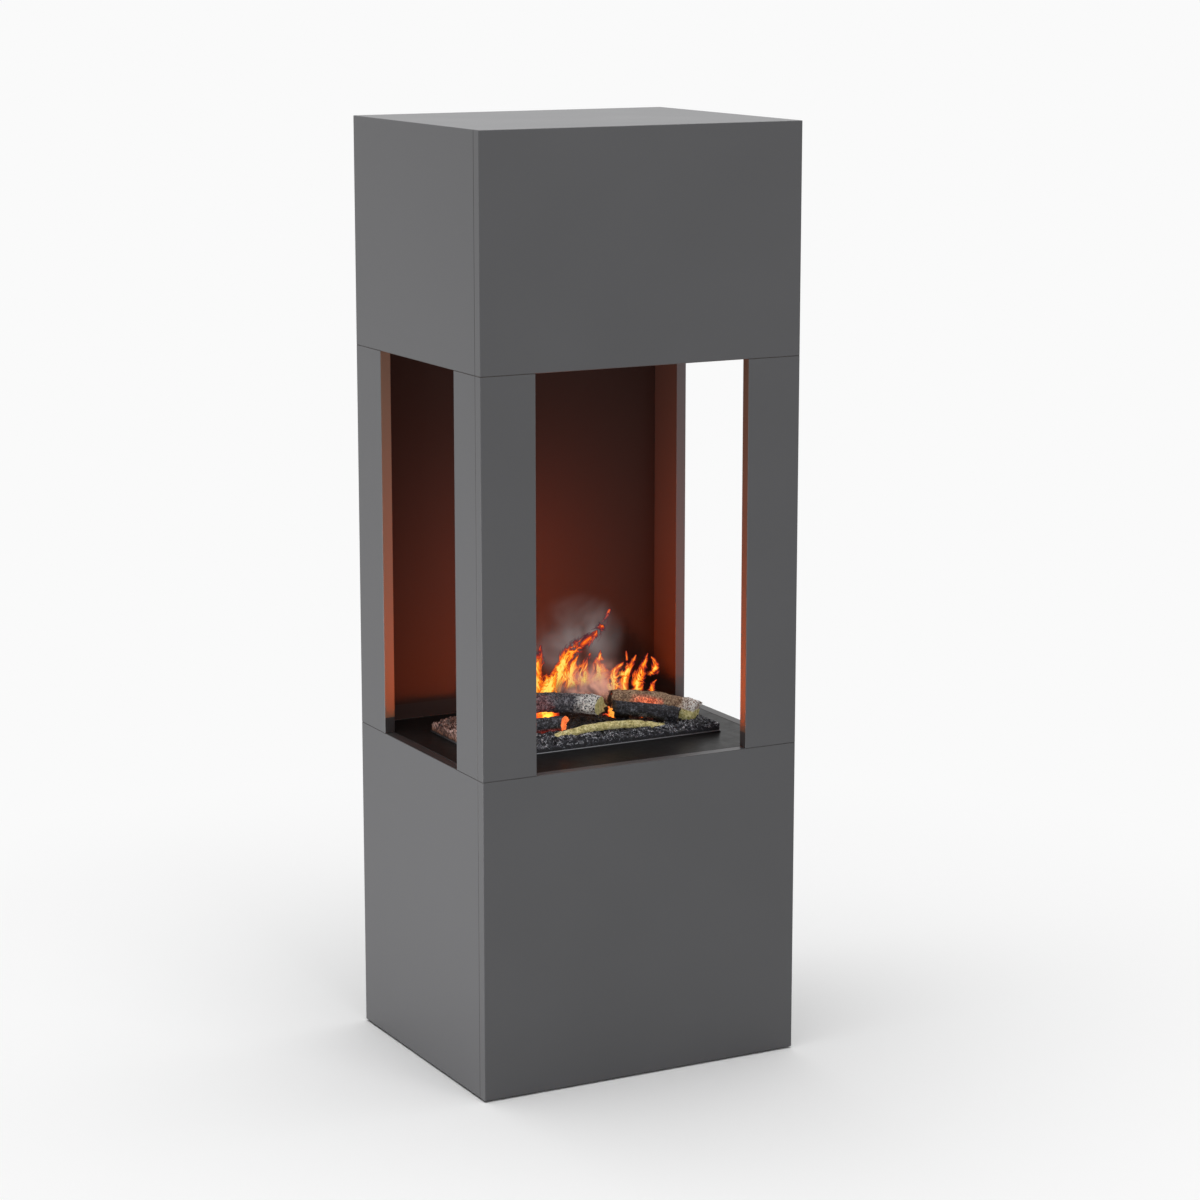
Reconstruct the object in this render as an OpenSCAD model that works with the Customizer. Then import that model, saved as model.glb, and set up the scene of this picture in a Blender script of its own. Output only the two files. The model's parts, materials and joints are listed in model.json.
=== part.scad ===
// Water vapour fireplace column: a closed base block, an open fire chamber between four
// corner posts, and a closed hood. The vapour cassette hangs in the hearth plate and
// carries the log bed. Z is up, the front faces -Y, and the origin is on the floor
// under the middle of the column.

/* [Cabinet] */
// Width of the column
cabinet_w = 500; // [460:1:620]
// Depth of the column
cabinet_d = 408; // [370:1:520]
// Height of the closed base block, glides included
base_h = 462; // [360:1:640]
// Height of the open fire chamber
chamber_h = 560; // [420:1:760]
// Height of the hood block
hood_h = 328; // [150:1:500]
// Thickness of the lacquered boards
board_t = 16; // [12:0.5:19]
// Width of each corner post, on every face
post_w = 83; // [55:1:110]
// Chamfer along every board edge, which draws the joint lines
edge_chamfer = 0.6; // [0.3:0.1:1.5]

/* [Base fittings] */
// Height of the glides under the base block
glide_h = 2.5; // [1.5:0.5:6]
// Diameter of the glides
glide_d = 36; // [20:1:50]
// Distance from the outer faces to the middle of a glide
glide_inset = 45; // [30:1:70]
// Section of the wooden battens inside the base
batten = 20; // [16:1:26]
// Height of the rail across the back of the base, under the chamber back
rail_h = 60; // [40:1:90]
// Thickness of the screwed service panel
panel_t = 8; // [6:0.5:12]
// Depth at which the service panel lies behind the rear edges
panel_inset = 6; // [4:0.5:10]
// Length of a vent slot in the service panel
vent_l = 110; // [60:5:140]
// Height of a vent slot
vent_h = 6; // [4:0.5:8]
// Distance from one vent slot to the next
vent_pitch = 15; // [12:1:24]
// Vent slots in each of the two columns
vent_rows = 7; // [2:1:9]
// Height of the lowest vent slot above the floor
vent_z = 190; // [150:5:230]
// Diameter of the dowels between the blocks
dowel_d = 8; // [6:0.5:8]
// Length of the dowels
dowel_l = 30; // [20:1:40]

/* [Hearth] */
// Thickness of the black hearth plate
hearth_t = 12; // [8:0.5:16]
// Gap round the cassette in the hearth cut-out
cutout_gap = 1; // [0.5:0.25:3]

/* [Cassette] */
// Outer length of the cassette rim
rim_w = 376; // [360:1:400]
// Outer depth of the cassette rim
rim_d = 200; // [196:1:230]
// Height of the rim lip above the hearth
rim_h = 3; // [2.5:0.25:5]
// Width of the flange that rests on the hearth
flange_w = 8; // [6:0.5:10]
// Thickness of the folded steel
sheet_t = 1.5; // [1:0.25:2]
// Depth of the tub below the hearth
tub_depth = 150; // [148:1:180]
// Width of the fan bay and of the dry bay at the ends of the tub
bay_w = 48; // [46:1:54]

/* [Vapour unit] */
// Height of the water tray
sump_h = 42; // [38:1:46]
// Wall of the water tray and of the vapour duct
sump_wall = 2.5; // [2:0.25:3]
// Height of the feet under the water tray
sump_foot_h = 13; // [13:0.5:16]
// Distance between the two ultrasonic transducers
transducer_pitch = 110; // [80:5:140]
// Diameter of a transducer body
transducer_d = 34; // [30:1:38]
// Depth of the vapour slot
slot_d = 12; // [8:1:16]
// Middle of the vapour slot behind the middle of the column
slot_y = 26; // [24:1:30]
// Pitch of the lamps along the vapour slot
lamp_pitch = 24; // [16:1:40]
// Side of the square fan
fan_size = 60; // [50:1:60]
// Thickness of the fan
fan_t = 20; // [15:1:25]
// Blades of the fan rotor
fan_blades = 7; // [5:1:9]

/* [Water tank] */
// Length of the water tank
tank_w = 200; // [150:1:220]
// Room between the water tank and the middle wall of the water tray
tank_room = 9; // [7:1:20]
// Height of the water tank
tank_h = 98; // [80:1:98]
// Wall of the water tank
tank_wall = 2; // [1.5:0.25:3]
// Outer diameter of the tank cap
cap_d = 42; // [36:1:46]
// Opening travel of the valve in the cap
valve_lift = 3; // [2:0.5:4]
// Travel of the float ring
float_travel = 8; // [5:1:12]

/* [Controls] */
// Depth of the control panel below the hearth
control_drop = 12; // [11:0.5:16]
// Tilt of the power rocker to either side
rocker_tilt = 10; // [6:1:12]
// Diameter of the push buttons
button_d = 8; // [6:0.5:10]
// Distance between the push buttons
button_pitch = 20; // [14:1:26]
// Diameter of the receiver window
window_d = 5; // [4:0.5:6]
// Diameter of the mains lead inside the base
lead_d = 7; // [5:0.5:8]

/* [Log bed] */
// Mean diameter of the coals
coal_d = 21; // [16:1:28]
// Height of the coals over their bed
coal_h = 7; // [4:0.5:10]
// Thickness of the moulded bed under the coals
bed_t = 3; // [2:0.5:6]
// Height of the mound in the middle of the bed
mound_h = 11; // [6:1:14]
// Size factor of the log cross-sections
log_scale = 1; // [0.9:0.05:1.1]

/* [Hidden] */

// Colours of the finishes
lacquer = [0.30, 0.30, 0.31];
black_steel = [0.07, 0.07, 0.07];
black_lacquer = [0.06, 0.06, 0.06];
raw_wood = [0.72, 0.58, 0.40];
white_plastic = [0.86, 0.86, 0.84];
black_plastic = [0.10, 0.10, 0.11];
grey_steel = [0.62, 0.63, 0.64];
board_green = [0.06, 0.30, 0.18];

// Main faces and levels of the cabinet
x_side = cabinet_w / 2;
y_front = -cabinet_d / 2;
y_rear = cabinet_d / 2;
x_in = x_side - board_t;
y_in_front = y_front + board_t;
y_in_rear = y_rear - board_t;
z_hood = base_h + chamber_h;
z_top = z_hood + hood_h;
z_floor_board = glide_h + board_t;
y_panel = y_rear - panel_inset;
y_panel_in = y_panel - panel_t;
z_panel_top = base_h - rail_h;
z_batten = base_h - hearth_t - batten;

// Clearances and small allowances
slip = 0.3;
snug = 0.05;
touch_over = 1;
round_fn = 48;
hole_fn = 32;

// Joinery
dowel_gap = 0.5;
screw_d = 4;
screw_head_d = 8;
screw_head_h = 2.5;
screw_l = 24;
screw_margin = 40;

// Cassette
tub_w = rim_w - 2 * flange_w;
tub_d = rim_d - 2 * flange_w;
rim_r = 4;
tub_r = 6;
z_tub = base_h - tub_depth;
z_tub_in = z_tub + sheet_t;
tub_in_x = tub_w / 2 - sheet_t;
tub_in_y = tub_d / 2 - sheet_t;
wet_x = tub_in_x - bay_w - sheet_t;
partition_drop = 10;
air_slot_l = 100;
air_slot_h = 5;
air_slot_pitch = 12;
air_slots = 5;

// Water tray
sump_gap = 4;
sump_w = 2 * (wet_x - sump_gap);
sump_d = 2 * (tub_in_y - 2);
sump_floor = 3;
z_sump = z_tub_in + sump_foot_h;
z_sump_in = z_sump + sump_floor;
z_sump_top = z_sump + sump_h;
mid_wall_y = 1;
flow_gap_w = 30;
flow_gap_h = 12;
mist_y = (mid_wall_y + sump_d / 2) / 2;
well_d = 24;
transducer_h = 9;
disc_d = 28;
disc_t = 1.2;
seat_rib_h = 22;
seat_rib_l = 18;
pin_d = 4;

// Vapour duct
z_duct_out = base_h - 1;
duct_neck_h = 13;
duct_shoulder_h = 22;
z_duct_neck = z_duct_out - duct_neck_h;
z_duct_shoulder = z_duct_neck - duct_shoulder_h;
duct_w = sump_w;
fan_y = mist_y;
fan_z = z_sump_top + fan_size / 2 + 1;
fan_bore = fan_size - 4;
collar_d = 46;
ledge_d = 13;
ledge_t = 2;
slot_front = slot_y - slot_d / 2 - sump_wall;
lamp_board_t = 1.6;
lamp_d = 5;
z_lamp_board = z_duct_neck + ledge_t;
lens_h = 6;
lens_t = 1;

// Fan
fan_x = -wet_x - sheet_t - fan_t;
hub_d = 26;
shaft_d = 3;
blade_t = 1.6;
blade_pitch_angle = 38;
tip_gap = 0.8;
strut_w = 3;
motor_base_t = 3;

// Water tank
tank_r = 10;
tank_gap = 2;
tank_front = -(sump_d / 2 - sump_wall - tank_gap);
tank_rear = mid_wall_y - tank_room;
tank_d = tank_rear - tank_front;
tank_y = (tank_front + tank_rear) / 2;
z_tank = z_sump_in + seat_rib_h;
neck_d = cap_d - 8;
neck_h = 8;
cap_h = 14;
z_cap = z_tank - cap_h - slip;
cap_grips = 18;
grip_bar = 18;
grip_pocket = 24;
grip_depth = 20;
grip_w = 70;
valve_hole_d = 8;
valve_disc_d = 16;
valve_disc_t = 2;
stem_d = 4.4;
cap_floor = 2.5;
float_d = 18;
float_h = 12;
float_post_d = 6;
float_x = sump_w / 2 - sump_wall - float_d / 2 - 2;
float_y = -(sump_d / 2 - sump_wall - float_d / 2 - 2);

// Controls, in the dry bay at the right-hand end
dry_x = wet_x + sheet_t + bay_w / 2;
z_control = base_h - control_drop;
control_t = 2;
rocker_y = -58;
rocker_w = 8.4;
rocker_l = 14.4;
switch_w = 15;
switch_l = 21;
switch_lip = 1.2;
switch_h = 13;
pivot_d = 2;
pivot_l = rocker_w + 2;
button_y = -28;
button_h = 2.5;
button_rim = 1;
button_travel = 1.2;
pcb_t = 1.6;
pcb_l = 96;
pcb_drop = 11;
pcb_y = -tub_in_y + 3;
z_pcb = z_control - control_t - pcb_drop;
key_w = 6;
key_h = 4;
window_x = tub_in_x - 5;
window_y = tub_in_y - 5;
supply_w = 38;
supply_l = 120;
supply_h = 62;
supply_y = 20;

// Mains inlet and the lead from it to the power supply
inlet_x = dry_x;
inlet_z = 70;
inlet_flange_w = 40;
inlet_flange_h = 28;
inlet_flange_t = 2;
inlet_body_w = 28;
inlet_body_h = 21;
inlet_body_l = 26;
inlet_w = 24;
inlet_h = 16.5;
inlet_depth = 16;
pin_w = 2;
pin_h = 4;
pin_l = 13;
lead_y = 44;
lead_bend = 4 * lead_d;
gland_d = lead_d + 5;
gland_nut_d = lead_d + 13;
gland_nut_h = 7;

// Log bed
tray_t = sheet_t;
z_bed = base_h + sheet_t + tray_t;
bed_gap = 0.8;
bed_x = rim_w / 2 - sheet_t - bed_gap;
bed_y = rim_d / 2 - sheet_t - bed_gap;
bed_slot_w = duct_w - 14;
bed_slot_front = slot_front - ledge_d + 1;
bed_slot_rear = slot_y + slot_d / 2 + sump_wall + 2;
tab_l = 24;
tab_h = 8;
tab_x = 80;
cell = 7.4;
// The logs were drawn for a rim 376 long and 200 deep, and follow the smaller change of the two
log_unit = min(rim_w / 376, rim_d / 200);
log_rings = 13;
log_sides = 14;

// General helpers

// Box from one corner to the opposite one
module block(from, to) {
    translate(from) cube(to - from);
}

// Rectangle about the origin with round corners
module rounded_rect(w, d, r) {
    square([w - 2 * r, d], center = true);
    square([w, d - 2 * r], center = true);
    for (x = [-1, 1], y = [-1, 1])
        translate([x * (w / 2 - r), y * (d / 2 - r)]) circle(r, $fn = round_fn);
}

// Rectangle with its four corners cut at 45 degrees
module eased_rect(w, h, c) {
    polygon([[c, 0], [w - c, 0], [w, c], [w, h - c], [w - c, h], [c, h], [0, h - c], [0, c]]);
}

// Board from corner to corner with all its edges eased
module board(from, to) {
    size = to - from;
    c = edge_chamfer;
    translate(from) intersection() {
        linear_extrude(size.z) eased_rect(size.x, size.y, c);
        translate([0, size.y, 0]) rotate([90, 0, 0])
            linear_extrude(size.y) eased_rect(size.x, size.z, c);
        rotate([90, 0, 90]) linear_extrude(size.x) eased_rect(size.y, size.z, c);
    }
}

// Extrusion along X, from x0 to x1, of a profile drawn in Y and Z
module along_x(x0, x1) {
    translate([x0, 0, 0]) rotate([90, 0, 90]) linear_extrude(x1 - x0) children();
}

// Cylinder along X from x0
module rod_x(x0, l, d) {
    translate([x0, 0, 0]) rotate([0, 90, 0]) cylinder(h = l, d = d, $fn = round_fn);
}

// Repeats its children at the four corners of a rectangle
module at_corners(dx, dy) {
    for (x = [-dx, dx], y = [-dy, dy]) translate([x, y, 0]) children();
}

// Cabinet

// Places of the dowels, in plan, in the posts and in the back
dowel_sites = [
    for (s = [-1, 1]) [s * (x_side - post_w / 2), y_front + board_t / 2],
    for (s = [-1, 1]) [s * (x_side - board_t / 2), y_front + (board_t + post_w) / 2],
    for (s = [-1, 1]) [s * (x_side - board_t / 2), y_rear - post_w / 2],
    for (s = [-1, 1]) [s * x_in / 2, y_rear - board_t / 2]];

module dowel_holes(z) {
    for (p = dowel_sites)
        translate([p.x, p.y, z - dowel_l / 2 - dowel_gap])
            cylinder(h = dowel_l + 2 * dowel_gap, d = dowel_d + 2 * snug, $fn = hole_fn);
}

// Side board or side strip; side is -1 on the left and 1 on the right
module side_board(side, y0, y1, z0, z1) {
    x0 = side < 0 ? -x_side : x_in;
    color(lacquer) difference() {
        board([x0, y0, z0], [x0 + board_t, y1, z1]);
        dowel_holes(base_h);
        dowel_holes(z_hood);
    }
}

module base_front_board() {
    color(lacquer) difference() {
        board([-x_side, y_front, glide_h], [x_side, y_in_front, base_h]);
        dowel_holes(base_h);
    }
}

module base_left_side() side_board(-1, y_in_front, y_rear, glide_h, base_h);

module base_right_side() side_board(1, y_in_front, y_rear, glide_h, base_h);

module base_bottom_board() {
    color(lacquer)
        board([-x_in, y_in_front, glide_h], [x_in, y_panel_in, z_floor_board]);
}

module base_back_rail() {
    color(lacquer) difference() {
        board([-x_in, y_in_rear, z_panel_top], [x_in, y_rear, base_h]);
        dowel_holes(base_h);
    }
}

// Battens that carry the hearth plate and take the screws of the service panel
module base_battens() {
    z0 = z_batten;
    z1 = z_batten + batten;
    color(raw_wood) {
        for (s = [-1, 1]) {
            inner = s * (x_in - batten);
            outer = s * x_in;
            lo = min(inner, outer);
            hi = max(inner, outer);
            block([lo, y_in_front, z0], [hi, y_in_rear, z1]);
            difference() {
                block([lo, y_panel_in - batten, z_floor_board], [hi, y_panel_in, z_panel_top]);
                panel_screw_places() screw_shank(screw_d + 2 * snug);
            }
        }
        block([-x_in + batten + snug, y_in_front, z0],
              [x_in - batten - snug, y_in_front + batten, z1]);
    }
}

// Three screws up each side of the service panel, driven towards the front
module panel_screw_places() {
    z_low = z_floor_board + screw_margin;
    z_high = z_panel_top - screw_margin;
    for (s = [-1, 1], z = [z_low, (z_low + z_high) / 2, z_high])
        translate([s * (x_in - batten / 2), y_panel, z]) rotate([90, 0, 0]) children();
}

module screw_shank(d) {
    cylinder(h = screw_l, d = d, $fn = hole_fn);
}

module screw_head(grow) {
    cylinder(h = screw_head_h, d1 = screw_head_d + grow, d2 = screw_d + grow, $fn = hole_fn);
}

module service_screws() {
    cross_w = 0.9;
    cross_l = 4.2;
    cross_h = 1.6;
    color(grey_steel) panel_screw_places() difference() {
        union() {
            screw_shank(screw_d);
            screw_head(0);
        }
        for (a = [0, 90]) rotate(a)
            translate([-cross_l / 2, -cross_w / 2, -touch_over])
                cube([cross_l, cross_w, cross_h + touch_over]);
    }
}

// Louvred panel that closes the back of the base between the sides
module service_panel() {
    vent_x = (x_in - batten) / 2;
    color(lacquer) difference() {
        block([-x_in + slip, y_panel_in, glide_h], [x_in - slip, y_panel, z_panel_top]);
        for (s = [-1, 1], i = [0:vent_rows - 1])
            translate([s * vent_x, y_panel_in - touch_over, vent_z + i * vent_pitch])
                rotate([-90, 0, 0]) linear_extrude(panel_t + 2 * touch_over)
                    rounded_rect(vent_l, vent_h, vent_h / 2 - snug);
        panel_screw_places() {
            screw_shank(screw_d + 2 * snug);
            screw_head(2 * snug);
        }
        block([inlet_x - inlet_body_w / 2 - slip, y_panel_in - touch_over,
               inlet_z - inlet_body_h / 2 - slip],
              [inlet_x + inlet_body_w / 2 + slip, y_panel + touch_over,
               inlet_z + inlet_body_h / 2 + slip]);
    }
}

// Appliance inlet: flange on the panel, body through it, and three blades in the recess
module mains_inlet() {
    corner_cut = 5;
    y_out = y_panel + inlet_flange_t;
    blade_dx = 7;
    earth_dz = 4;
    color(black_plastic) translate([inlet_x, 0, inlet_z]) {
        difference() {
            union() {
                translate([0, y_panel, 0]) rotate([-90, 0, 0])
                    linear_extrude(inlet_flange_t)
                        rounded_rect(inlet_flange_w, inlet_flange_h, 4);
                block([-inlet_body_w / 2, y_out - inlet_body_l, -inlet_body_h / 2],
                      [inlet_body_w / 2, y_panel, inlet_body_h / 2]);
            }
            translate([0, y_out - inlet_depth, 0]) rotate([-90, 0, 0])
                linear_extrude(inlet_depth + touch_over)
                    polygon([[-inlet_w / 2, inlet_h / 2], [inlet_w / 2, inlet_h / 2],
                             [inlet_w / 2, corner_cut - inlet_h / 2],
                             [inlet_w / 2 - corner_cut, -inlet_h / 2],
                             [corner_cut - inlet_w / 2, -inlet_h / 2],
                             [-inlet_w / 2, corner_cut - inlet_h / 2]]);
        }
        for (p = [[-blade_dx, 0], [blade_dx, 0], [0, earth_dz]])
            block([p.x - pin_w / 2, y_out - inlet_depth - touch_over, p.y - pin_h / 2],
                  [p.x + pin_w / 2, y_out - inlet_depth + pin_l, p.y + pin_h / 2]);
    }
}

// Hearth plate, flush with the top of the base boards, with the cassette cut-out
module hearth_plate() {
    color(black_lacquer) difference() {
        board([-x_in, y_in_front, base_h - hearth_t], [x_in, y_in_rear, base_h]);
        translate([0, 0, base_h - hearth_t - touch_over])
            linear_extrude(hearth_t + 2 * touch_over)
                rounded_rect(tub_w + 2 * cutout_gap, tub_d + 2 * cutout_gap,
                             tub_r + cutout_gap);
    }
}

module floor_glides() {
    color(black_plastic)
        at_corners(x_side - glide_inset, cabinet_d / 2 - glide_inset)
            cylinder(h = glide_h, d = glide_d, $fn = round_fn);
}

// Front strip of a corner post
module front_post(side) {
    x0 = side < 0 ? -x_side : x_side - post_w;
    color(lacquer) difference() {
        board([x0, y_front, base_h], [x0 + post_w, y_in_front, z_hood]);
        dowel_holes(base_h);
        dowel_holes(z_hood);
    }
}

module front_left_post() front_post(-1);

module front_right_post() front_post(1);

module left_front_post() side_board(-1, y_in_front, y_front + post_w, base_h, z_hood);

module right_front_post() side_board(1, y_in_front, y_front + post_w, base_h, z_hood);

module left_rear_post() side_board(-1, y_rear - post_w, y_rear, base_h, z_hood);

module right_rear_post() side_board(1, y_rear - post_w, y_rear, base_h, z_hood);

module chamber_back_board() {
    color(lacquer) difference() {
        board([-x_in, y_in_rear, base_h], [x_in, y_rear, z_hood]);
        dowel_holes(base_h);
        dowel_holes(z_hood);
    }
}

// Space of the top board: an upturned frustum whose 45 degree faces are the mitres
module mitre_space() {
    reach = board_t;
    intersection() {
        translate([0, y_rear + reach, 0]) rotate([90, 0, 0])
            linear_extrude(cabinet_d + 2 * reach)
                polygon([[-x_in, z_top - board_t], [x_in, z_top - board_t],
                         [x_side + reach, z_top + reach], [-x_side - reach, z_top + reach]]);
        along_x(-x_side - reach, x_side + reach)
            polygon([[y_in_front, z_top - board_t], [y_in_rear, z_top - board_t],
                     [y_rear + reach, z_top + reach], [y_front - reach, z_top + reach]]);
    }
}

module hood_board(from, to) {
    color(lacquer) difference() {
        board(from, to);
        dowel_holes(z_hood);
        mitre_space();
    }
}

module hood_front_board() hood_board([-x_side, y_front, z_hood], [x_side, y_in_front, z_top]);

module hood_left_side() hood_board([-x_side, y_in_front, z_hood], [-x_in, y_rear, z_top]);

module hood_right_side() hood_board([x_in, y_in_front, z_hood], [x_side, y_rear, z_top]);

module hood_back_board() hood_board([-x_in, y_in_rear, z_hood], [x_in, y_rear, z_top]);

module hood_top_board() {
    color(lacquer) intersection() {
        board([-x_side, y_front, z_top - 2 * board_t], [x_side, y_rear, z_top]);
        mitre_space();
    }
}

module hood_ceiling_board() {
    color(lacquer)
        board([-x_in, y_in_front, z_hood], [x_in, y_in_rear, z_hood + board_t]);
}

module joint_dowels() {
    color(raw_wood) for (p = dowel_sites, z = [base_h, z_hood])
        translate([p.x, p.y, z - dowel_l / 2])
            cylinder(h = dowel_l, d = dowel_d, $fn = hole_fn);
}

// Cassette

// Folded steel tub that hangs by its flange in the hearth plate
module cassette_tub() {
    color(black_steel) difference() {
        union() {
            translate([0, 0, base_h]) linear_extrude(rim_h) rounded_rect(rim_w, rim_d, rim_r);
            translate([0, 0, z_tub]) linear_extrude(tub_depth + sheet_t)
                rounded_rect(tub_w, tub_d, tub_r);
        }
        translate([0, 0, base_h + sheet_t]) linear_extrude(rim_h)
            rounded_rect(rim_w - 2 * sheet_t, rim_d - 2 * sheet_t, rim_r - sheet_t);
        translate([0, 0, z_tub_in]) linear_extrude(tub_depth + rim_h)
            rounded_rect(2 * tub_in_x, 2 * tub_in_y, tub_r - sheet_t);
        for (i = [0:air_slots - 1])
            translate([-tub_w / 2, 0, fan_z + (i - (air_slots - 1) / 2) * air_slot_pitch])
                cube([4 * sheet_t, air_slot_l, air_slot_h], center = true);
        translate([inlet_x, lead_y, z_tub - touch_over])
            cylinder(h = sheet_t + 2 * touch_over, d = gland_d + 2 * snug, $fn = hole_fn);
    }
}

// Two upright sheets: the left one carries the fan, the right one keeps the controls dry
module bay_partitions() {
    half = tub_in_y - slip;
    color(grey_steel) {
        difference() {
            block([-wet_x - sheet_t, -half, z_tub_in], [-wet_x, half, base_h - partition_drop]);
            translate([0, fan_y, fan_z]) rod_x(-wet_x - 3 * sheet_t, 6 * sheet_t, collar_d);
        }
        block([wet_x, -half, z_tub_in], [wet_x + sheet_t, half, z_control - control_t]);
    }
}

// Water tray with the tank seat in front and the transducer wells behind
module sump_tray() {
    inner_w = sump_w - 2 * sump_wall;
    inner_d = sump_d - 2 * sump_wall;
    color(white_plastic) {
        difference() {
            translate([0, 0, z_sump]) linear_extrude(sump_h) rounded_rect(sump_w, sump_d, 4);
            translate([0, 0, z_sump_in]) linear_extrude(sump_h)
                rounded_rect(inner_w, inner_d, 4 - sump_wall);
            for (s = [-1, 1])
                translate([s * transducer_pitch / 2, mist_y, z_sump - touch_over])
                    cylinder(h = sump_floor + 2 * touch_over, d = well_d, $fn = round_fn);
        }
        // Wall between the tank side and the mist side, with a gap for the water at each end
        difference() {
            block([-inner_w / 2, mid_wall_y, z_sump_in],
                  [inner_w / 2, mid_wall_y + sump_wall, z_sump_top]);
            for (s = [-1, 1])
                translate([s * (inner_w / 2 - flow_gap_w), mid_wall_y + sump_wall / 2, z_sump_in])
                    cube([flow_gap_w, 3 * sump_wall, 2 * flow_gap_h], center = true);
        }
        // Ribs on which the tank stands
        for (x = [-1, 1], y = [-1, 1])
            translate([x * (tank_w / 2 - seat_rib_l), tank_y + y * (tank_d / 2 - seat_rib_l / 2),
                       z_sump_in + seat_rib_h / 2])
                cube([sump_wall, seat_rib_l, seat_rib_h], center = true);
        // Collar round the tank cap and the pin that lifts its valve
        translate([0, tank_y, z_sump_in]) {
            difference() {
                cylinder(h = 5, d = cap_d + 10, $fn = round_fn);
                translate([0, 0, -touch_over])
                    cylinder(h = 5 + 2 * touch_over, d = cap_d + 5, $fn = round_fn);
            }
            cylinder(h = z_cap - z_sump_in - 2, d = pin_d, $fn = hole_fn);
        }
        // Post that guides the float ring
        translate([float_x, float_y, z_sump_in])
            cylinder(h = float_h + float_travel + 4, d = float_post_d, $fn = hole_fn);
        // Feet on the floor of the tub
        at_corners(sump_w / 2 - 10, sump_d / 2 - 10)
            translate([0, 0, z_tub_in]) cylinder(h = sump_foot_h, d = 10, $fn = hole_fn);
    }
}

module at_transducers(z) {
    for (s = [-1, 1]) translate([s * transducer_pitch / 2, mist_y, z]) children();
}

// Bodies screwed up against the floor of the water tray, each with a seat for its disc
module transducer_bodies() {
    ear_pitch = transducer_d + 8;
    color([0.78, 0.66, 0.38]) at_transducers(z_sump - transducer_h) difference() {
        union() {
            cylinder(h = transducer_h, d = transducer_d, $fn = round_fn);
            translate([0, 0, transducer_h - 3]) linear_extrude(3)
                rounded_rect(ear_pitch + 9, 10, 4.9);
        }
        translate([0, 0, transducer_h - disc_t])
            cylinder(h = disc_t + touch_over, d = disc_d + 2 * snug, $fn = round_fn);
        translate([0, 0, -touch_over])
            cylinder(h = transducer_h, d = well_d - 4, $fn = round_fn);
        for (s = [-1, 1]) translate([s * ear_pitch / 2, 0, 0])
            cylinder(h = transducer_h + touch_over, d = 3.2, $fn = hole_fn);
    }
}

module transducer_discs() {
    color([0.90, 0.88, 0.80]) at_transducers(z_sump - disc_t)
        cylinder(h = disc_t, d = disc_d, $fn = round_fn);
}

// Outline of the duct in Y and Z; inset moves its walls inwards
module duct_outline(inset, z0, z1) {
    neck = slot_d / 2 + sump_wall - inset;
    front = mid_wall_y + inset;
    rear = sump_d / 2 - inset;
    polygon([[front, z0], [rear, z0], [rear, z_duct_shoulder], [slot_y + neck, z_duct_neck],
             [slot_y + neck, z1], [slot_y - neck, z1], [slot_y - neck, z_duct_neck],
             [front, z_duct_shoulder]]);
}

// Duct that stands on the mist side of the tray and narrows to the vapour slot
module mist_duct() {
    w = sump_wall;
    color(black_plastic) {
        difference() {
            along_x(-duct_w / 2, duct_w / 2) duct_outline(0, z_sump_top, z_duct_out);
            along_x(-duct_w / 2 + w, duct_w / 2 - w)
                duct_outline(w, z_sump_top - touch_over, z_duct_out + touch_over);
            translate([0, fan_y, fan_z]) rod_x(-duct_w / 2 - touch_over, w + 2, collar_d - 2 * w);
        }
        // Collar from the fan wall into the duct
        translate([0, fan_y, fan_z]) difference() {
            rod_x(-wet_x, sump_gap, collar_d);
            rod_x(-wet_x - touch_over, sump_gap + 2, collar_d - 2 * w);
        }
        // Ledge for the lamp board along the front of the neck
        block([-bed_slot_w / 2, slot_front - ledge_d, z_duct_neck],
              [bed_slot_w / 2, slot_front, z_lamp_board]);
    }
}

// Square fan frame with its bore, corner holes, motor base and struts; its axis is X
module fan_housing() {
    hole_inset = 5;
    color(black_plastic) translate([fan_x, fan_y, fan_z]) rotate([0, 90, 0]) {
        difference() {
            linear_extrude(fan_t) difference() {
                rounded_rect(fan_size, fan_size, 4);
                circle(d = fan_bore, $fn = round_fn);
            }
            at_corners(fan_size / 2 - hole_inset, fan_size / 2 - hole_inset)
                translate([0, 0, -touch_over])
                    cylinder(h = fan_t + 2 * touch_over, d = 4.3, $fn = hole_fn);
        }
        difference() {
            union() {
                cylinder(h = motor_base_t, d = hub_d, $fn = round_fn);
                for (a = [0:120:240]) rotate(a)
                    translate([hub_d / 2 - 1, -strut_w / 2, 0])
                        cube([(fan_bore - hub_d) / 2 + 2, strut_w, motor_base_t]);
            }
            translate([0, 0, -touch_over])
                cylinder(h = motor_base_t + 2 * touch_over, d = shaft_d + 2 * snug,
                         $fn = hole_fn);
        }
    }
}

module fan_rotor() {
    hub_z = motor_base_t + 0.5;
    hub_h = fan_t - hub_z - 1;
    tip_d = fan_bore - 2 * tip_gap;
    blade_l = (tip_d - hub_d) / 2 + 2;
    color([0.16, 0.16, 0.17]) translate([fan_x, fan_y, fan_z]) rotate([0, 90, 0]) {
        translate([0, 0, hub_z]) cylinder(h = hub_h, d = hub_d, $fn = round_fn);
        translate([0, 0, 0.5]) cylinder(h = hub_z, d = shaft_d, $fn = hole_fn);
        intersection() {
            translate([0, 0, hub_z]) cylinder(h = hub_h, d = tip_d, $fn = round_fn);
            for (i = [0:fan_blades - 1]) rotate(i * 360 / fan_blades)
                translate([hub_d / 2 - 1 + blade_l / 2, 0, hub_z + hub_h / 2])
                    rotate([blade_pitch_angle, 0, 0])
                        cube([blade_l, fan_t, blade_t], center = true);
        }
    }
}

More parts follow.
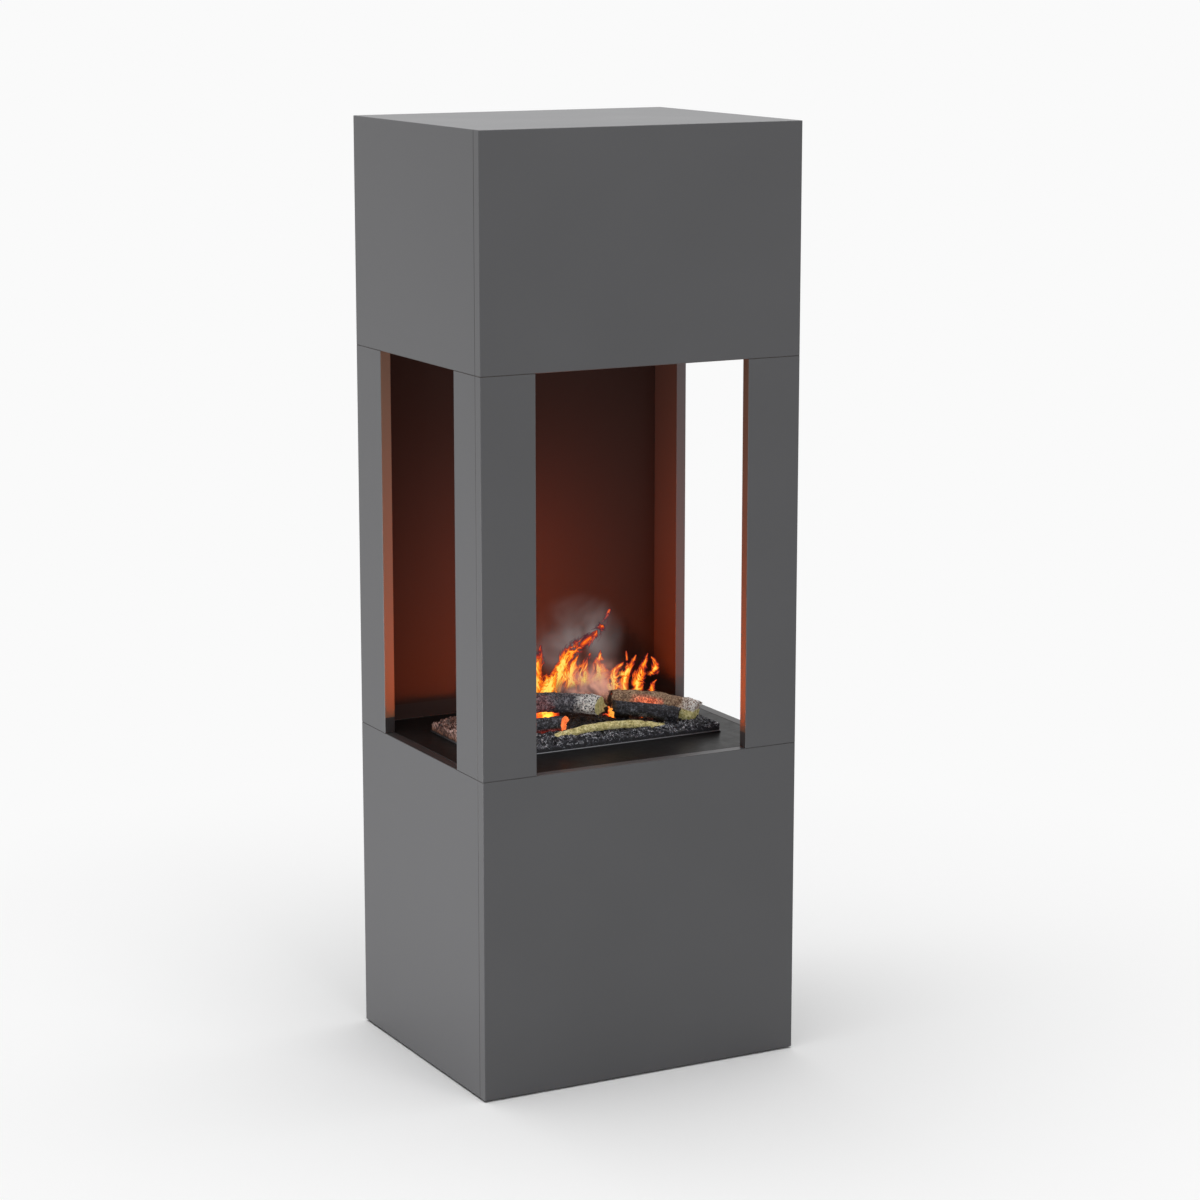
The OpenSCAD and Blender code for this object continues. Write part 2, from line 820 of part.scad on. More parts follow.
// Strip of warm lamps along the ledge, shining up past the vapour slot
module lamp_board() {
    strip_d = ledge_d - 4;
    strip_w = bed_slot_w - 12;
    y_mid = slot_front - ledge_d / 2;
    lamps = floor(strip_w / lamp_pitch);
    color(board_green)
        block([-strip_w / 2, y_mid - strip_d / 2, z_lamp_board],
              [strip_w / 2, y_mid + strip_d / 2, z_lamp_board + lamp_board_t]);
    color([1.0, 0.62, 0.25]) for (i = [0:lamps - 1])
        translate([(i - (lamps - 1) / 2) * lamp_pitch, y_mid, z_lamp_board + lamp_board_t])
            intersection() {
                sphere(d = lamp_d, $fn = hole_fn);
                cylinder(h = lamp_d, d = lamp_d + 1, $fn = hole_fn);
            }
}

// Amber channel over the lamps
module lamp_lens() {
    y0 = slot_front - ledge_d;
    color([1.0, 0.55, 0.15, 0.6]) difference() {
        block([-bed_slot_w / 2, y0, z_lamp_board],
              [bed_slot_w / 2, slot_front, z_lamp_board + lens_h]);
        block([-bed_slot_w / 2 + lens_t, y0 + lens_t, z_lamp_board - touch_over],
              [bed_slot_w / 2 - lens_t, slot_front - lens_t, z_lamp_board + lens_h - lens_t]);
    }
}

// Enclosed power supply with cooling ribs and a terminal block
module power_supply() {
    ribs = 9;
    rib = [supply_w - 8, 3, 1.5];
    rib_pitch = 12;
    terminals = [supply_w - 12, 8, 14];
    color(black_plastic) translate([dry_x, supply_y, z_tub_in]) {
        translate([-supply_w / 2, -supply_l / 2, 0]) cube([supply_w, supply_l, supply_h]);
        for (i = [0:ribs - 1])
            translate([-rib.x / 2, (i - (ribs - 1) / 2) * rib_pitch - rib.y / 2, supply_h])
                cube(rib);
    }
    color(white_plastic) translate([dry_x, supply_y - supply_l / 2, z_tub_in])
        translate([-terminals.x / 2, -terminals.y, 0]) cube(terminals);
}

// Circuit board under the control panel, on pillars, with its keys and larger parts
module control_board() {
    pcb_w = bay_w - 6;
    inset = 4;
    pillar_d = 5;
    chip = [14, 10, 2];
    choke_d = 8;
    choke_h = 12;
    choke_pitch = 12;
    color(board_green) translate([dry_x - pcb_w / 2, pcb_y, z_pcb - pcb_t])
        cube([pcb_w, pcb_l, pcb_t]);
    color(grey_steel) for (x = [-1, 1], y = [inset, pcb_l - inset])
        translate([dry_x + x * (pcb_w / 2 - inset), pcb_y + y, z_pcb])
            cylinder(h = pcb_drop, d = pillar_d, $fn = hole_fn);
    color(black_plastic) {
        translate([0, 0, z_pcb + key_h / 2]) at_buttons() cube([key_w, key_w, key_h], center = true);
        translate([dry_x - chip.x, pcb_y + pcb_l - chip.y - inset, z_pcb - pcb_t - chip.z])
            cube(chip);
    }
    color(grey_steel) for (i = [-1:1])
        translate([dry_x + i * choke_pitch, pcb_y + 0.6 * pcb_l, z_pcb - pcb_t - choke_h])
            cylinder(h = choke_h, d = choke_d, $fn = hole_fn);
}

module at_buttons() {
    for (i = [0, 1]) translate([dry_x, button_y + i * button_pitch, 0]) children();
}

// Plate over the dry bay with the rocker cut-out and the button holes
module control_panel() {
    z0 = z_control - control_t;
    vents = 5;
    vent_w = 3;
    vent_step = 9;
    vent_margin = 50;
    vent_y = tub_in_y - vent_margin;
    panel_w = tub_in_x - wet_x;
    color(black_steel) difference() {
        translate([wet_x + panel_w / 2, 0, z0]) linear_extrude(control_t)
            rounded_rect(panel_w, 2 * tub_in_y, tub_r);
        block([dry_x - switch_w / 2 + switch_lip, rocker_y - switch_l / 2 + switch_lip, z0 - touch_over],
              [dry_x + switch_w / 2 - switch_lip, rocker_y + switch_l / 2 - switch_lip,
               z_control + touch_over]);
        translate([0, 0, z0 - touch_over]) at_buttons()
            cylinder(h = control_t + 2 * touch_over, d = button_d + 2 * slip, $fn = hole_fn);
        for (i = [0:vents - 1]) translate([dry_x, vent_y + i * vent_step, z0 + control_t / 2])
            cube([bay_w - 14, vent_w, 3 * control_t], center = true);
    }
}

// Snap-in case of the power rocker
module switch_body() {
    pocket_w = rocker_w + 2 * slip;
    pocket_l = rocker_l + 1.2;
    pocket_h = 8;
    case_w = switch_w - 2 * switch_lip - 2 * slip;
    case_l = switch_l - 2 * switch_lip - 2 * slip;
    color(black_plastic) translate([dry_x, rocker_y, z_control]) difference() {
        union() {
            translate([0, 0, switch_lip / 2])
                cube([switch_w, switch_l, switch_lip], center = true);
            translate([0, 0, -switch_h / 2]) cube([case_w, case_l, switch_h], center = true);
        }
        translate([-pocket_w / 2, -pocket_l / 2, -pocket_h + switch_lip])
            cube([pocket_w, pocket_l, pocket_h + touch_over]);
        rod_x(-pivot_l / 2 - slip, pivot_l + 2 * slip, pivot_d + 2 * snug);
    }
}

// Power rocker, drawn in its on position; it turns about its two pivot pins
module rocker() {
    half = rocker_l / 2;
    color([0.75, 0.10, 0.08]) translate([dry_x, rocker_y, z_control])
        rotate([-rocker_tilt, 0, 0]) {
            along_x(-rocker_w / 2, rocker_w / 2)
                polygon([[-half, 3.2], [0, 2], [half, 3.2], [half, -1], [3, -4], [-3, -4],
                         [-half, -1]]);
            rod_x(-pivot_l / 2, pivot_l, pivot_d);
        }
}

// Push button held under the panel by its rim
module push_button(index) {
    z_under = z_control - control_t - slip;
    z_stem = z_pcb + key_h + button_travel + slip;
    color([0.75, 0.76, 0.78]) translate([dry_x, button_y + index * button_pitch, 0]) {
        difference() {
            translate([0, 0, z_under - button_rim])
                cylinder(h = button_h + control_t + slip + button_rim, d = button_d - 2 * slip,
                         $fn = hole_fn);
            translate([0, 0, z_control + button_h + 9]) sphere(r = 9.5, $fn = round_fn);
        }
        translate([0, 0, z_under - button_rim])
            cylinder(h = button_rim, d = button_d + 2.4, $fn = hole_fn);
        translate([0, 0, z_stem])
            cylinder(h = z_under - button_rim - z_stem, d = button_d / 2, $fn = hole_fn);
    }
}

module button_up() push_button(1);

module button_down() push_button(0);

// Light guide of the receiver, from the control panel up through the bed
module receiver_window() {
    z_dome = z_bed + bed_t;
    color([0.25, 0.05, 0.06]) translate([window_x, window_y, 0]) {
        translate([0, 0, z_control]) cylinder(h = z_dome - z_control, d = window_d, $fn = hole_fn);
        translate([0, 0, z_dome]) sphere(d = window_d, $fn = hole_fn);
    }
}

// Lead from the inlet: forward along Y, round a bend, and up through the floor of the tub
module mains_lead() {
    y_start = y_panel + inlet_flange_t - inlet_body_l;
    y_bend = lead_y + lead_bend;
    z_bend = inlet_z + lead_bend;
    color(black_plastic) translate([inlet_x, 0, 0]) {
        translate([0, y_bend, inlet_z]) rotate([-90, 0, 0])
            cylinder(h = y_start - y_bend, d = lead_d, $fn = hole_fn);
        translate([0, y_bend, z_bend]) rotate([90, 180, 90])
            rotate_extrude(angle = 90, $fn = round_fn)
                translate([lead_bend, 0]) circle(d = lead_d, $fn = hole_fn);
        translate([0, lead_y, z_bend])
            cylinder(h = z_tub_in - z_bend, d = lead_d, $fn = hole_fn);
    }
}

// Gland that holds the lead in the floor of the tub: a six-sided nut and its sleeve
module lead_gland() {
    color(white_plastic) translate([inlet_x, lead_y, 0]) difference() {
        union() {
            translate([0, 0, z_tub - gland_nut_h])
                cylinder(h = gland_nut_h, d = gland_nut_d, $fn = 6);
            translate([0, 0, z_tub - touch_over])
                cylinder(h = sheet_t + touch_over, d = gland_d, $fn = hole_fn);
        }
        translate([0, 0, z_tub - gland_nut_h - touch_over])
            cylinder(h = gland_nut_h + sheet_t + 2 * touch_over, d = lead_d + 2 * snug,
                     $fn = hole_fn);
    }
}

// Water tank

// Grip recess in the top of the tank; grow adds the wall round it
module grip_space(grow) {
    for (s = [-1, 1])
        translate([-grip_w / 2 - grow, s * (grip_bar + grip_pocket) / 2 - grip_pocket / 2 - grow,
                   z_tank + tank_h - grip_depth - grow])
            cube([grip_w + 2 * grow, grip_pocket + 2 * grow, grip_depth + grow + touch_over]);
}

// Hollow tank that stands on its cap side, with a bar between two pockets as its grip
module water_tank() {
    w = tank_wall;
    color([0.55, 0.60, 0.66, 0.6]) translate([0, tank_y, 0]) difference() {
        union() {
            translate([0, 0, z_tank]) linear_extrude(tank_h) rounded_rect(tank_w, tank_d, tank_r);
            translate([0, 0, z_tank - neck_h])
                cylinder(h = neck_h + w, d = neck_d, $fn = round_fn);
        }
        difference() {
            translate([0, 0, z_tank + w]) linear_extrude(tank_h - 2 * w)
                rounded_rect(tank_w - 2 * w, tank_d - 2 * w, tank_r - w);
            grip_space(w);
        }
        grip_space(0);
        translate([0, 0, z_tank - neck_h - touch_over])
            cylinder(h = neck_h + 2 * w + touch_over, d = neck_d - 5, $fn = round_fn);
    }
}

// Screw cap with grip ribs and a hole for the valve
module tank_cap() {
    color(black_plastic) translate([0, tank_y, z_cap]) difference() {
        union() {
            cylinder(h = cap_h, d = cap_d - 1.6, $fn = round_fn);
            for (i = [0:cap_grips - 1]) rotate(i * 360 / cap_grips)
                translate([cap_d / 2 - 1.5, -1, 0]) cube([1.5, 2, cap_h]);
        }
        translate([0, 0, cap_floor])
            cylinder(h = cap_h, d = neck_d + 2 * slip, $fn = round_fn);
        translate([0, 0, -touch_over])
            cylinder(h = cap_floor + 2 * touch_over, d = valve_hole_d, $fn = hole_fn);
    }
}

// Valve on its stem, lifted off the cap floor by the pin of the water tray
module valve_plunger() {
    z_pin = z_cap - 2;
    z_disc = z_cap + cap_floor + valve_lift;
    color([0.20, 0.20, 0.22]) translate([0, tank_y, 0]) {
        translate([0, 0, z_pin]) cylinder(h = z_disc - z_pin + 1, d = stem_d, $fn = hole_fn);
        translate([0, 0, z_disc]) cylinder(h = valve_disc_t, d = valve_disc_d, $fn = hole_fn);
    }
}

// Float ring at its lower stop on the guide post
module float_ring() {
    color([0.95, 0.45, 0.10]) translate([float_x, float_y, z_sump_in + slip]) difference() {
        cylinder(h = float_h, d = float_d, $fn = round_fn);
        translate([0, 0, -touch_over])
            cylinder(h = float_h + 2 * touch_over, d = float_post_d + 2 * slip, $fn = hole_fn);
    }
}

// Log bed

// Steel tray inside the rim lip, with the slot for vapour and light and four tabs
module bed_tray() {
    color(black_steel) {
        difference() {
            translate([0, 0, base_h + sheet_t]) linear_extrude(tray_t)
                rounded_rect(2 * bed_x, 2 * bed_y, rim_r - sheet_t - bed_gap);
            block([-bed_slot_w / 2, bed_slot_front, base_h],
                  [bed_slot_w / 2, bed_slot_rear, z_bed + touch_over]);
            translate([window_x, window_y, base_h])
                cylinder(h = rim_h + 2 * tray_t, d = window_d + 2, $fn = hole_fn);
        }
        for (x = [-1, 1], y = [-1, 1])
            translate([x * tab_x, y * (tub_in_y - slip - tray_t / 2),
                       base_h + sheet_t - tab_h / 2])
                cube([tab_l, tray_t, tab_h], center = true);
    }
}

// Repeatable value from 0 to 1 for a pair of whole numbers
function scatter(i, j) = let (v = sin(i * 127.1 + j * 311.7) * 4375.85) v - floor(v);

// Middle of the coal that belongs to square (i, j) of the scatter pattern
function coal_at(i, j) = [(i + 0.2 + 0.6 * scatter(i, j)) * coal_pitch,
                          (j + 0.2 + 0.6 * scatter(j + 57, i)) * coal_pitch];
coal_pitch = coal_d * 0.78;

// Height of the coals over a point, from the coals in the squares round it
function coal_relief(x, y) =
    let (i = floor(x / coal_pitch), j = floor(y / coal_pitch))
    max([for (di = [-1:1], dj = [-1:1])
        let (c = coal_at(i + di, j + dj),
             r = coal_d / 2 * (0.75 + 0.4 * scatter(i + di + 11, j + dj)),
             d = norm([x, y] - c) / r)
        d < 1 ? coal_h * sqrt(1 - d * d) : 0]);

// Mound of the bed, low along the front edge and higher towards the back and the left
function mound(x, y) =
    mound_h * cos(80 * x / bed_x) * cos(70 * (y - 18) / (bed_y + 18))
    + 4 * max(0, -x / bed_x);

function bed_height(x, y) = bed_t + mound(x, y) * 0.8 + coal_relief(x, y);

cells_x = round(2 * bed_x / cell);
cells_y = round(2 * bed_y / cell);
slot_i0 = floor((bed_x - bed_slot_w / 2) / (2 * bed_x) * cells_x);
slot_i1 = cells_x - slot_i0;
slot_j0 = floor((bed_slot_front + bed_y) / (2 * bed_y) * cells_y);
slot_j1 = ceil((bed_slot_rear + bed_y) / (2 * bed_y) * cells_y);
notch = ceil((bed_x - window_x + window_d / 2 + 1) / cell);

// Whether a square of the bed is there: not outside, in the slot or in the window notch
function kept(i, j) =
    i >= 0 && i < cells_x && j >= 0 && j < cells_y
    && !(i >= slot_i0 && i < slot_i1 && j >= slot_j0 && j < slot_j1)
    && !(i >= cells_x - notch && j >= cells_y - notch);

function corner(i, j) = j * (cells_x + 1) + i;
function under(i, j) = corner(i, j) + (cells_x + 1) * (cells_y + 1);

// The underside is one strip per run of squares, with all its points where a wall meets it
function edged(j) = len([for (i = [0:cells_x - 1]) if (kept(i, j - 1) != kept(i, j)) i]) > 0;
function run_end(i, j) = kept(i, j) ? run_end(i + 1, j) : i;
function row_line(a, b, j) =
    edged(j) ? [for (i = [a:b]) under(i, j)] : [under(a, j), under(b, j)];

// Triangles between two rows of points: a fan over the first row, then one over the second
function strip(a, b) = concat(
    [for (k = [0:len(a) - 2]) [a[k], a[k + 1], b[0]]],
    [for (k = [0:len(b) - 2]) [a[len(a) - 1], b[k + 1], b[k]]]);

// Moulded bed of coals: one closed relief with the slot and the window notch left open
module ember_bed() {
    dx = 2 * bed_x / cells_x;
    dy = 2 * bed_y / cells_y;
    places = [for (j = [0:cells_y], i = [0:cells_x]) [i * dx - bed_x, j * dy - bed_y]];
    tops = [for (p = places) [p.x, p.y, z_bed + bed_height(p.x, p.y)]];
    floors = [for (p = places) [p.x, p.y, z_bed]];
    surface_faces = [for (i = [0:cells_x - 1], j = [0:cells_y - 1]) if (kept(i, j))
        each [[corner(i, j), corner(i, j + 1), corner(i + 1, j + 1)],
              [corner(i, j), corner(i + 1, j + 1), corner(i + 1, j)]]];
    floor_faces = [for (j = [0:cells_y - 1], i = [0:cells_x - 1])
        if (kept(i, j) && !kept(i - 1, j))
            let (e = run_end(i, j))
            each strip(row_line(i, e, j), row_line(i, e, j + 1))];
    walls = [for (i = [0:cells_x - 1], j = [0:cells_y - 1]) if (kept(i, j)) each concat(
        kept(i, j - 1) ? [] : [[corner(i, j), corner(i + 1, j), under(i + 1, j), under(i, j)]],
        kept(i, j + 1) ? [] : [[corner(i + 1, j + 1), corner(i, j + 1),
                                under(i, j + 1), under(i + 1, j + 1)]],
        kept(i - 1, j) ? [] : [[corner(i, j + 1), corner(i, j), under(i, j), under(i, j + 1)]],
        kept(i + 1, j) ? [] : [[corner(i + 1, j), corner(i + 1, j + 1),
                                under(i + 1, j + 1), under(i + 1, j)]])];
    color([0.16, 0.15, 0.15])
        polyhedron(points = concat(tops, floors), faces = concat(surface_faces, floor_faces, walls));
}

// Logs: a ring of bark lofted along a bent centre line

function mix(a, b, t) = a + (b - a) * t;
function bend(p, t) = mix(mix(p[0], p[1], t), mix(p[1], p[2], t), t);
function unit(v) = v / norm(v);

// Ridges of the bark round the log, and a knot at one side of it
function bark(t, a, seed) =
    1 + 0.08 * sin(3 * a + 130 * t + seed * 47)
      + 0.05 * sin(5 * a - 210 * t + seed * 91)
      + 0.05 * sin(2 * a + 560 * t + seed * 29)
      + 0.16 * exp(-pow((t - 0.3 - 0.4 * scatter(seed, 3)) / 0.09, 2)
                   - pow((((a + seed * 77) % 360) - 120) / 30, 2));

// One ring of the log; cut tips the end rings so that they look hewn
function log_ring(path, r, flat, seed, t, cut) =
    let (c = bend(path, t),
         along = unit(bend(path, min(1, t + 0.02)) - bend(path, max(0, t - 0.02))),
         side = unit(cross([0, 0, 1], along)),
         up = cross(along, side),
         tip = t == 0 ? -cut : t == 1 ? cut : 0)
    [for (k = [0:log_sides - 1])
        let (a = k * 360 / log_sides, rr = r * log_scale * log_unit * bark(t, a, seed))
        c + rr * (cos(a) * side + flat * sin(a) * up) + along * (tip * rr * cos(a + seed * 40))];

// Slant of the ends as a share of the radius, below the spacing of the rings
function end_cut(path, r, n, cut) =
    min(cut, 0.45 * min(norm(bend(path, 1 / n) - path[0]), norm(path[2] - bend(path, 1 - 1 / n))) / r);

module log(path, r_start, r_end, flat, seed, cut = 0.25) {
    n = log_rings - 1;
    slant = end_cut(path, max(r_start, r_end), n, cut);
    m = log_sides;
    lifted = [for (p = path) p * log_unit + [0, 0, base_h]];
    rings = [for (i = [0:n]) each
        log_ring(lifted, mix(r_start, r_end, i / n), flat, seed, i / n, slant)];
    sides = [for (i = [0:n - 1], k = [0:m - 1])
        let (a = i * m + k, b = i * m + (k + 1) % m)
        each [[a, b, b + m], [a, b + m, a + m]]];
    ends = [[for (k = [m - 1:-1:0]) k], [for (k = [0:m - 1]) n * m + k]];
    polyhedron(points = rings, faces = concat(sides, ends));
}

// Each log has a start, a bending point and an end, in X, in Y and above the hearth
module upper_left_log() {
    color([0.22, 0.20, 0.20])
        log([[-150, 2, 50], [-70, -18, 64], [30, -32, 41]], 15, 14, 0.98, 1);
}

module lower_left_log() {
    color([0.10, 0.10, 0.10])
        log([[-162, -34, 27], [-104, -44, 28], [-44, -54, 29]], 13, 11, 0.95, 2);
}

module right_log() {
    color([0.34, 0.27, 0.16])
        log([[50, -8, 46], [112, -28, 42], [174, -62, 23]], 13.5, 15, 1, 3);
}

module charred_log() {
    color([0.08, 0.08, 0.09])
        log([[44, -50, 42], [90, -60, 37], [134, -72, 24]], 10, 11.5, 0.95, 4);
}

module glowing_log() {
    color([0.60, 0.22, 0.05])
        log([[58, -36, 26], [66, -20, 28], [62, 0, 26]], 12, 11, 0.95, 5);
}

module cross_log() {
    color([0.18, 0.16, 0.15])
        log([[-116, -16, 33], [-108, 4, 35], [-132, 64, 30]], 12, 12.5, 0.95, 6);
}

module rear_log() {
    color([0.30, 0.24, 0.15])
        log([[-134, 66, 25], [-10, 84, 29], [138, 62, 24]], 13, 13, 0.9, 7);
}

module bark_strip() {
    color([0.55, 0.52, 0.26])
        log([[-78, -70, 13], [26, -78, 36], [112, -72, 9]], 7, 6, 0.75, 8);
}

base_front_board();
base_left_side();
base_right_side();
base_bottom_board();
base_back_rail();
base_battens();
service_panel();
service_screws();
mains_inlet();
hearth_plate();
floor_glides();
front_left_post();
front_right_post();
left_front_post();
right_front_post();
left_rear_post();
right_rear_post();
chamber_back_board();
hood_front_board();
hood_left_side();
hood_right_side();
hood_back_board();
hood_top_board();
hood_ceiling_board();
joint_dowels();
cassette_tub();
bay_partitions();
sump_tray();
transducer_bodies();
transducer_discs();
mist_duct();
fan_housing();
fan_rotor();
lamp_board();
lamp_lens();
power_supply();
control_board();
control_panel();
switch_body();
rocker();
button_up();
button_down();
receiver_window();
mains_lead();
lead_gland();
water_tank();
tank_cap();
valve_plunger();
float_ring();
bed_tray();
ember_bed();
upper_left_log();
lower_left_log();
right_log();
charred_log();
glowing_log();
cross_log();
rear_log();
bark_strip();
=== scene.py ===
"""Looks of a free-standing water vapour fireplace column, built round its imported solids."""

import json
import math
from functools import partial

import bpy
from mathutils import Euler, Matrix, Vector

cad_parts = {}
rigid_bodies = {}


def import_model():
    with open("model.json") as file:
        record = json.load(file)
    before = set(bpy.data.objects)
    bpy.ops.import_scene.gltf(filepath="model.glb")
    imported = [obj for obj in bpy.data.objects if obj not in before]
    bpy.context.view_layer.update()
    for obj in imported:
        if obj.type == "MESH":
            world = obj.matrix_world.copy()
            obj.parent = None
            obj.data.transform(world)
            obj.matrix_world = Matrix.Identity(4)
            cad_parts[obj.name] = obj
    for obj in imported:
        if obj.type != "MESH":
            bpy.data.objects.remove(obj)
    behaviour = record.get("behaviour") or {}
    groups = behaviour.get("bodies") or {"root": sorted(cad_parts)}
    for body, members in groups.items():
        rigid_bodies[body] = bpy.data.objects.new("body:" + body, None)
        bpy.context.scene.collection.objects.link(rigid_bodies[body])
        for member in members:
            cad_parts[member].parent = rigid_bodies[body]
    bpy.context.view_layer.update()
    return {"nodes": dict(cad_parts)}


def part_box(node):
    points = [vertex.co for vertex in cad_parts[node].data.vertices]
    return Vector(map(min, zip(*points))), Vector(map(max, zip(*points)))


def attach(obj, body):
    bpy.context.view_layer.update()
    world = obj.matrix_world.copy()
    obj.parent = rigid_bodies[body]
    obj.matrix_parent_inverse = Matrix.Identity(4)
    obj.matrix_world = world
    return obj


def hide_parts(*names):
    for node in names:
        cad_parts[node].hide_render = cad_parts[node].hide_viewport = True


bl_info = {
    "name": "Vapour Fireplace Column",
    "version": (1, 0, 0),
    "blender": (4, 5, 0),
    "location": "View3D > Sidebar > Fireplace",
    "description": "Finishes, logs, coals, flames and stage of a water vapour fireplace column",
    "category": "Object",
}

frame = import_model()
NODES = frame["nodes"]
# The fire chamber, in metres: from the hearth to the hood, from the front face to the back board,
# and half the width between the posts, which are boards of one thickness
HEARTH_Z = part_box("hearth_plate")[1].z
HOOD_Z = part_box("hood_ceiling_board")[0].z
FRONT_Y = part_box("base_front_board")[0].y
BACK_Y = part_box("chamber_back_board")[0].y
INNER_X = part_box("right_rear_post")[0].x
BOARD = 0.016


def srgb(code):
    """Linear colour from an sRGB hex code."""
    parts = [int(code[i:i + 2], 16) / 255 for i in (1, 3, 5)]
    linear = [c / 12.92 if c <= 0.04045 else ((c + 0.055) / 1.055) ** 2.4 for c in parts]
    return (*linear, 1.0)


def bed_point(place_mm):
    """Point in metres from one in mm, whose z counts from the hearth."""
    return Vector(place_mm) / 1000 + Vector((0, 0, HEARTH_Z))


# Small helpers for objects

def clear_selection():
    """Leaves object mode with nothing selected."""
    if bpy.context.object and bpy.context.object.mode != "OBJECT":
        bpy.ops.object.mode_set(mode="OBJECT")
    bpy.ops.object.select_all(action="DESELECT")


def start(name):
    """Names the primitive just added and returns it."""
    obj = bpy.context.object
    obj.name = name
    obj.data.name = name
    return obj


def focus(obj):
    """Makes obj the only selected and the active object."""
    clear_selection()
    obj.select_set(True)
    bpy.context.view_layer.objects.active = obj


def settle(obj):
    """Puts the object's place, turn and size into its mesh."""
    focus(obj)
    bpy.ops.object.transform_apply(location=True, rotation=True, scale=True)


def edit(obj, kind, test):
    """Enters edit mode with the faces or edges selected that pass the test.

    A face is tested by its middle and its normal, an edge by its two ends.
    """
    focus(obj)
    bpy.ops.object.mode_set(mode="EDIT")
    bpy.ops.mesh.select_mode(type=kind)
    bpy.ops.mesh.select_all(action="DESELECT")
    bpy.ops.object.mode_set(mode="OBJECT")
    mesh = obj.data
    if kind == "FACE":
        for face in mesh.polygons:
            face.select = bool(test(face.center, face.normal))
    else:
        for side in mesh.edges:
            side.select = bool(test(*(mesh.vertices[i].co for i in side.vertices)))
    bpy.ops.object.mode_set(mode="EDIT")


def leave_edit():
    """Goes back to object mode."""
    bpy.ops.object.mode_set(mode="OBJECT")


def modify(obj, kind, **settings):
    """Adds a modifier with its settings and applies it."""
    focus(obj)
    mod = obj.modifiers.new(kind.title(), kind)
    for key, value in settings.items():
        setattr(mod, key, value)
    bpy.ops.object.modifier_apply(modifier=mod.name)


def relief(name, kind, size, **settings):
    """Procedural texture for a displacement, with its pattern size in metres."""
    texture = bpy.data.textures.new(name, kind)
    texture.noise_scale = size
    for key, value in settings.items():
        setattr(texture, key, value)
    return texture


# Factors that scatter whole numbers well
SCATTER, SPREAD = (127.1, 311.7, 74.7), 43758.5453


def chance(*numbers):
    """Repeatable value from 0 to 1 for up to three whole numbers."""
    value = math.sin(sum(n * k for n, k in zip(numbers, SCATTER))) * SPREAD
    return value - math.floor(value)


def finish_piece(obj, body, material=None, replaces=()):
    """Gives the piece its material and body, and hides the solids it stands for."""
    if material:
        obj.data.materials.clear()
        obj.data.materials.append(material)
    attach(obj, body)
    if replaces:
        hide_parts(*replaces)


# Small helpers for materials

# A point this near to a face counts as on it, in metres
SKIN = 0.0005


def shade(colour, share):
    """The colour, darker or lighter by the share."""
    return tuple(min(1, c * share) for c in colour[:3]) + (1,)


def feed(node, inputs):
    """Fills inputs of a node: with a value, a socket, or another node's first output in use."""
    for key, value in inputs.items():
        if isinstance(value, bpy.types.Node):
            value = next(out for out in value.outputs if out.enabled)
        if isinstance(value, bpy.types.NodeSocket):
            node.id_data.links.new(value, node.inputs[key])
        else:
            node.inputs[key].default_value = value


def add(tree, kind, *values, stops=(), **settings):
    """Adds a node with its settings, its colour stops and its links.

    The values go to the inputs in turn, or where a dictionary says.
    """
    node = tree.nodes.new("ShaderNode" + kind)
    for key, value in settings.items():
        setattr(node, key, value)
    named = values and isinstance(values[0], dict)
    feed(node, values[0] if named else dict(enumerate(values)))
    if stops:
        points = node.color_ramp.elements
        while len(points) < len(stops):
            points.new(0.5)
        for point, (position, colour) in zip(points, stops):
            point.position, point.color = position, colour
    return node


def principled(name, **sockets):
    """New material: returns it, its shader with the sockets set, and what adds nodes to it."""
    material = bpy.data.materials.new(name)
    material.use_nodes = True
    shader = material.node_tree.nodes["Principled BSDF"]
    feed(shader, {key.replace("_", " "): value for key, value in sockets.items()})
    return material, shader, partial(add, material.node_tree)


def place(node, stretch=(1, 1, 1)):
    """Object coordinates, stretched."""
    coord = node("TexCoord").outputs["Object"]
    return node("Mapping", {"Vector": coord, "Scale": stretch})


def within(node, value, low, high):
    """1 where the value lies between low and high, else 0."""
    above = node("Math", value, low, operation="GREATER_THAN")
    below = node("Math", value, high, operation="LESS_THAN")
    return node("Math", above, below, operation="MULTIPLY")


# Materials

# Half the width of the lines in which the boards meet, in metres
LINE = 0.0007


